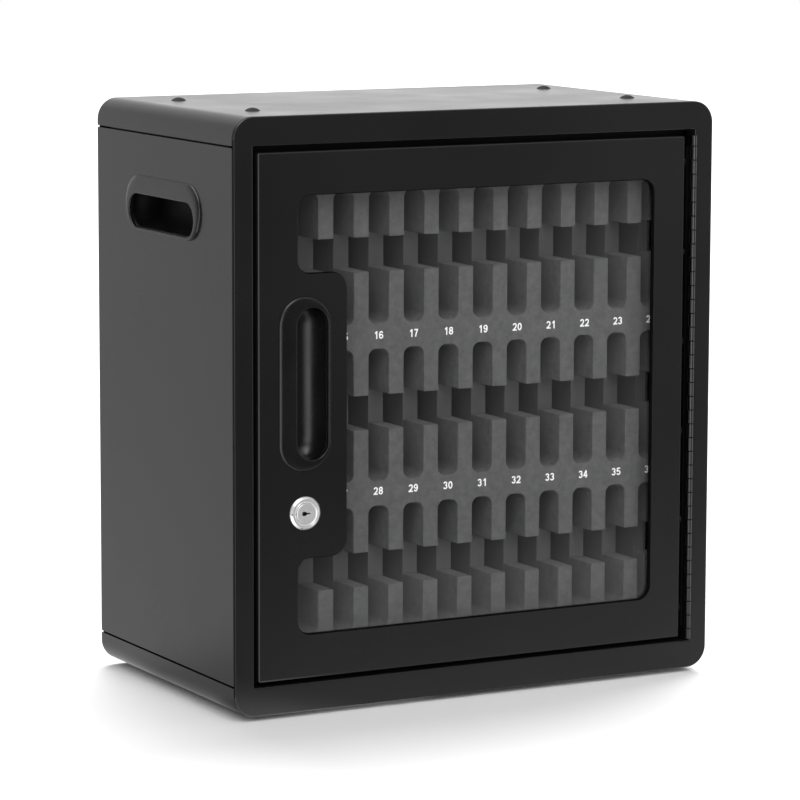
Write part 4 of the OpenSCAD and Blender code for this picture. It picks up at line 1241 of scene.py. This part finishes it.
def plugModel():
    # low domed plug with a barbed stem through the cover
    bm = bmesh.new()
    r, h, rim, stem = small["plugDome"], small["plugHeight"], small["plugRim"], small["plugStem"]
    wide = math.asin(rim / r)
    profile = [(r * math.sin(wide * k / 8), h - r * (1 - math.cos(wide * k / 8))) for k in range(9)]
    profile += [(rim - 0.1, 0.0), (stem, 0.0), (stem, -1.7), (4.5, -1.8), (3.9, -3.4), (3.4, -3.5)]
    profile.append((0.0, -3.5))
    turned(bm, lambda u, d, v: local(u, v, d), profile, 8)
    return bm


def footModel():
    bm = bmesh.new()
    r, h = small["footRadius"], underside / mm
    profile = [(0.0, 0.0), (r - 1.3, 0.0), (r - 0.5, 0.25), (r, 1.0), (r, h - 0.3), (r - 0.3, h), (0.0, h)]
    turned(bm, lambda u, d, v: local(u, v, d), profile, 10)
    return bm


def cornersOf(node, inset, z):
    low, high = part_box(node)
    inset *= mm
    lines = (low.y + inset, high.y - inset)
    return [((x, y, z), (0, 0, 0)) for x in (low.x + inset, high.x - inset) for y in lines]


def makePlugsAndFeet():
    places = cornersOf("top_plugs", small["plugRim"], underside + bodyHeight * mm)
    bm = copiesAt("plugs", plugModel(), places, rubber)
    addPiece("topPlugs", bm, rubber, "cabinet", ["top_plugs"])
    bm = copiesAt("feet", footModel(), cornersOf("rubber_feet", small["footRadius"], 0.0), rubber)
    addPiece("rubberFeet", bm, rubber, "cabinet", ["rubber_feet"])


def nutModel():
    bm = bmesh.new()
    hexagon = bow(0, 0, small["nutRadius"], small["nutRadius"], 0, 300, 5)
    edge = [(0.35, 0.0), (0, 0.3), (0, 2.3), (0.35, 2.6)]
    bore = [(0.25, 0.0), (0, 0.25), (0, 2.35), (0.25, 2.6)]
    shell(bm, local, [
        [lambda t: insetLoop(hexagon, t), edge, False],
        [lambda t: circleLoop(0, 0, small["studRadius"] + small["nutGap"] + t, 6), bore, False],
    ])
    return bm


def studModel(length):
    bm = bmesh.new()
    r, step = small["studRadius"], small["threadPitch"]
    profile = [(0.0, 0.0), (r, 0.0)]
    threads = int((length - 1.6) / step)
    for k in range(threads):
        profile += [(r, 1.0 + k * step), (small["threadRoot"], 1.0 + (k + 0.5) * step)]
    turned(bm, local, profile + [(r, 1.0 + threads * step), (r - 0.4, length), (0.0, length)], 5)
    return bm


clips = {"width": 12.0, "thick": 1.2, "reach": 9.5, "heel": 4.0, "corner": 1.5, "hole": 2.15, "legIn": 0.4,
         "out": 5.5, "topIn": 59.5, "sideIn": 64.5, "nutTurn": 17}


def clipModel():
    # flat tab on the pane, with a leg down to the door sheet
    bm = bmesh.new()
    w, thick, low = clips["width"] / 2, clips["thick"], paneD[1] - sheet
    high = low + thick

    def tab(t):
        return roundedLoop(t - clips["reach"], clips["heel"] - t, t - w, w - t, clips["corner"] - t, 4)

    shell(bm, local, [
        [tab, rolled(0.2, low, 2) + rolledBack(0.3, high, 2), False],
        [lambda t: circleLoop(0, 0, clips["hole"] + t, 6), [(0, low), (0, high)], False],
    ])
    across = (clips["legIn"] - w, w - clips["legIn"])
    bar(bm, (clips["heel"] - thick, clips["heel"]), (0, low + thick / 2), across, 0.25, local)
    return bm


def makeWindowClips():
    out, x, side = door["paneLap"] + clips["out"], winRight - clips["topIn"], clips["sideIn"]
    lobe = (winHigh - winLow - door["tongueHeight"]) / 4
    spots = [(x, winHigh + out, 90), (-x, winHigh + out, 90), (x, winLow - out, -90), (-x, winLow - out, -90)]
    spots += [(winRight + out, winLow + side, 0), (winRight + out, winHigh - side, 0)]
    spots += [(winLeft - out, winLow + lobe, 180), (winLeft - out, winHigh - lobe, 180)]
    places = [(at(px, sheet, pz), (0, math.radians(-turn), 0)) for px, pz, turn in spots]
    bm = copiesAt("clips", clipModel(), places, zinc)
    addPiece("windowClips", bm, zinc, "door", ["window_clips"])
    bm = copiesAt("studs", studModel(span("window_studs")[1][1] - sheet), places, zinc)
    addPiece("windowStuds", bm, zinc, "door", ["window_studs"], 50.0)
    nutD = span("window_nuts")[1][0]
    places = [(at(px, nutD, pz), (0, math.radians(clips["nutTurn"] * px), 0)) for px, pz, turn in spots]
    bm = copiesAt("nuts", nutModel(), places, zinc)
    addPiece("windowNuts", bm, zinc, "door", ["window_nuts"], 30.0)


def makeStopPads():
    # two soft strips on each stop, pressed down a little by the closed door
    bm = bmesh.new()
    x, d, z = span("door_stop_pads")
    press, tall = small["padPress"], small["padHigh"]
    for side in (-1, 1):
        across = sorted((side * x[1], side * (x[1] - small["padLength"])))
        for low, high in ((z[0] + press, z[0] + tall), (z[1] - tall, z[1] - press)):
            bar(bm, across, d, (low, high), small["padEdge"])
    addPiece("doorStopPads", bm, rubber, "cabinet", ["door_stop_pads"])


makePlugsAndFeet()
makeWindowClips()
# the door stops sit in the dark gap round the door and get the near-black coat as painted shade
dressNode("upper_door_stop", "upperDoorStop", shadeCoat, small["stopEdge"])
dressNode("lower_door_stop", "lowerDoorStop", shadeCoat, small["stopEdge"])
makeStopPads()
print("small parts made")


# Floor, light and camera

# the floor's lengths are in metres from the middle of the cabinet
stage = {"floor": (0.64, 0.64, 0.64), "floorLight": 1.01, "seen": (0.82, 0.82, 0.82), "half": 9.0,
         "shift": 0.25, "nearGlow": 0.45, "nearFrom": -0.11, "nearTo": -0.75, "leftIn": (-0.75, -0.25),
         "leftOut": (-0.2, -0.1), "leftDepth": (-0.2, -0.05), "leftShade": 1.2, "leftGlow": 0.12, "least": 0.1}
sky = {"plain": 0.32, "overhead": 3.2, "high": (0.56, 0.85), "aside": (0.15, -0.25), "asideLeast": 0.15,
       "rise": (0.18, 0.42), "upper": 0.6}
# what shiny faces see all round, as [turn from the front in degrees, to the right positive, and level]
around = [(-180, 1.05), (-160, 0.68), (-125, 0.66), (-100, 0.34), (-78, 0.3), (-62, 0.42), (-50, 1.5),
          (-37, 2.5), (-24, 1.4), (-12, 0.08), (22, 0.1), (30, 0.2), (45, 0.7), (100, 1.0), (145, 1.2),
          (180, 1.05)]


def surround(tree, vector, shift=0.0):
    place = splitPlace(tree, vector)
    inFront = figure(tree, "LESS_THAN", place["Y"], stage["nearFrom"])
    ahead = figure(tree, "SUBTRACT", figure(tree, "MULTIPLY", inFront, shift), place["Y"])
    turn = figure(tree, "ARCTAN2", place["X"], ahead)
    ramp = addNode(tree, "ShaderNodeValToRGB", Fac=ranged(tree, turn, -math.pi, math.pi))
    ramp.color_ramp.interpolation = "EASE"
    elements = ramp.color_ramp.elements
    while len(elements) < len(around):
        elements.new(0.5)
    for element, (degrees, level) in zip(elements, around):
        element.position, element.color = (degrees + 180) / 360, (level, level, level, 1)
    return ramp.outputs["Color"], place, inFront


def rayKinds(tree):
    # rays that see the background, straight or through glass, and those that a shiny face sends out
    rays = addNode(tree, "ShaderNodeLightPath").outputs
    return figure(tree, "MAXIMUM", rays["Is Camera Ray"], rays["Is Transmission Ray"]), rays["Is Glossy Ray"]


def makeFloor():
    bm = bmesh.new()
    half = stage["half"]
    corners = ((-half, -half), (half, -half), (half, half), (-half, half))
    bm.faces.new([bm.verts.new((x, y, 0)) for x, y in corners])
    obj = inScene("floor", toMesh("floor", bm))
    made, tree, shader, coords = newMaterial("paleFloor")
    seeing, glossy = rayKinds(tree)
    grain = ranged(tree, noise(tree, coords, 3.0), 0.3, 0.7)
    plain = blendColors(tree, grain, stage["floor"], tuple(c * stage["floorLight"] for c in stage["floor"]))
    colour = blendColors(tree, seeing, plain, stage["seen"])
    setUp(tree, shader, Base_Color=colour, Roughness=0.9, Specular_IOR_Level=0.0)
    level, place, inFront = surround(tree, coords, stage["shift"])
    near = ranged(tree, place["Y"], stage["nearTo"], stage["nearFrom"], 0.0, stage["nearGlow"])
    lifted = figure(tree, "MULTIPLY_ADD", near, inFront, level)
    # shade on the floor to the left of the cabinet, and a little glow before it
    beside = figure(tree, "MULTIPLY", ranged(tree, place["X"], *stage["leftIn"]),
                    ranged(tree, place["X"], *stage["leftOut"], 1.0, 0.0))
    behind = ranged(tree, place["Y"], *stage["leftDepth"], -stage["leftShade"], stage["leftGlow"])
    left = figure(tree, "MULTIPLY_ADD", beside, behind, lifted)
    strength = figure(tree, "MAXIMUM", left, stage["least"])
    glow = addNode(tree, "ShaderNodeEmission", Color=(1, 1, 1, 1), Strength=strength)
    blendShaders(tree, glossy, shader.outputs["BSDF"], glow.outputs["Emission"])
    obj.data.materials.append(made)


def makeSky():
    world = bpy.data.worlds.new("studio")
    scene.world = world
    world.use_nodes = True
    tree = world.node_tree
    seeing, glossy = rayKinds(tree)
    level, place, inFront = surround(tree, addNode(tree, "ShaderNodeTexCoord").outputs["Generated"])
    high = ranged(tree, place["Z"], *sky["high"], 0.0, sky["overhead"])
    aside = ranged(tree, place["X"], *sky["aside"], sky["asideLeast"], 1.0)
    walls = figure(tree, "MULTIPLY", level, ranged(tree, place["Z"], *sky["rise"], 1.0, sky["upper"]))
    shiny = blendLevels(tree, glossy, sky["plain"], figure(tree, "MULTIPLY_ADD", high, aside, walls))
    setUp(tree, tree.nodes["Background"], Color=(1, 1, 1, 1), Strength=blendLevels(tree, seeing, shiny, 1.0))


lamps = {
    "key": {"strength": 4.4, "spread": 42.0, "from": (1.1, 1.5, 2.9)},
    "fill": {"strength": 3.15, "spread": 56.0, "from": (-1.2, -2.8, 1.9)},
}


def makeLamps():
    for name, look in lamps.items():
        lamp = bpy.data.lights.new(name, "SUN")
        lamp.energy, lamp.angle = look["strength"], math.radians(look["spread"])
        obj = inScene(name, lamp)
        obj.location = look["from"]
        obj.rotation_euler = Vector(look["from"]).to_track_quat("Z", "Y").to_euler()
        obj.visible_glossy = False


camera = {"focal": 3902.0, "width": 800.0, "sensor": 36.0, "x": -1402.2, "d": -2459.5, "z": 626.4,
          "yaw": 28.508, "pitch": -8.211, "roll": 0.163}  # focal length and width in pixels, turns in degrees


def makeCamera():
    data = bpy.data.cameras.new("camera")
    data.sensor_width = camera["sensor"]
    data.lens = camera["sensor"] * camera["focal"] / camera["width"]
    data.clip_end = 60.0
    obj = inScene("camera", data)
    yaw, pitch, roll = (math.radians(camera[turn]) for turn in ("yaw", "pitch", "roll"))
    ahead = Vector((math.sin(yaw) * math.cos(pitch), math.cos(yaw) * math.cos(pitch), math.sin(pitch)))
    right = Vector((math.cos(yaw), -math.sin(yaw), 0))
    up = right.cross(ahead)
    c, s = math.cos(roll), math.sin(roll)
    right, up = c * right + s * up, c * up - s * right
    turn = Matrix((right, up, -ahead)).transposed().to_4x4()
    obj.matrix_world = Matrix.Translation(at(camera["x"], camera["d"], camera["z"])) @ turn
    scene.camera = obj


makeFloor()
makeSky()
makeLamps()
makeCamera()
scene.view_settings.view_transform = "Standard"
print("stage set")
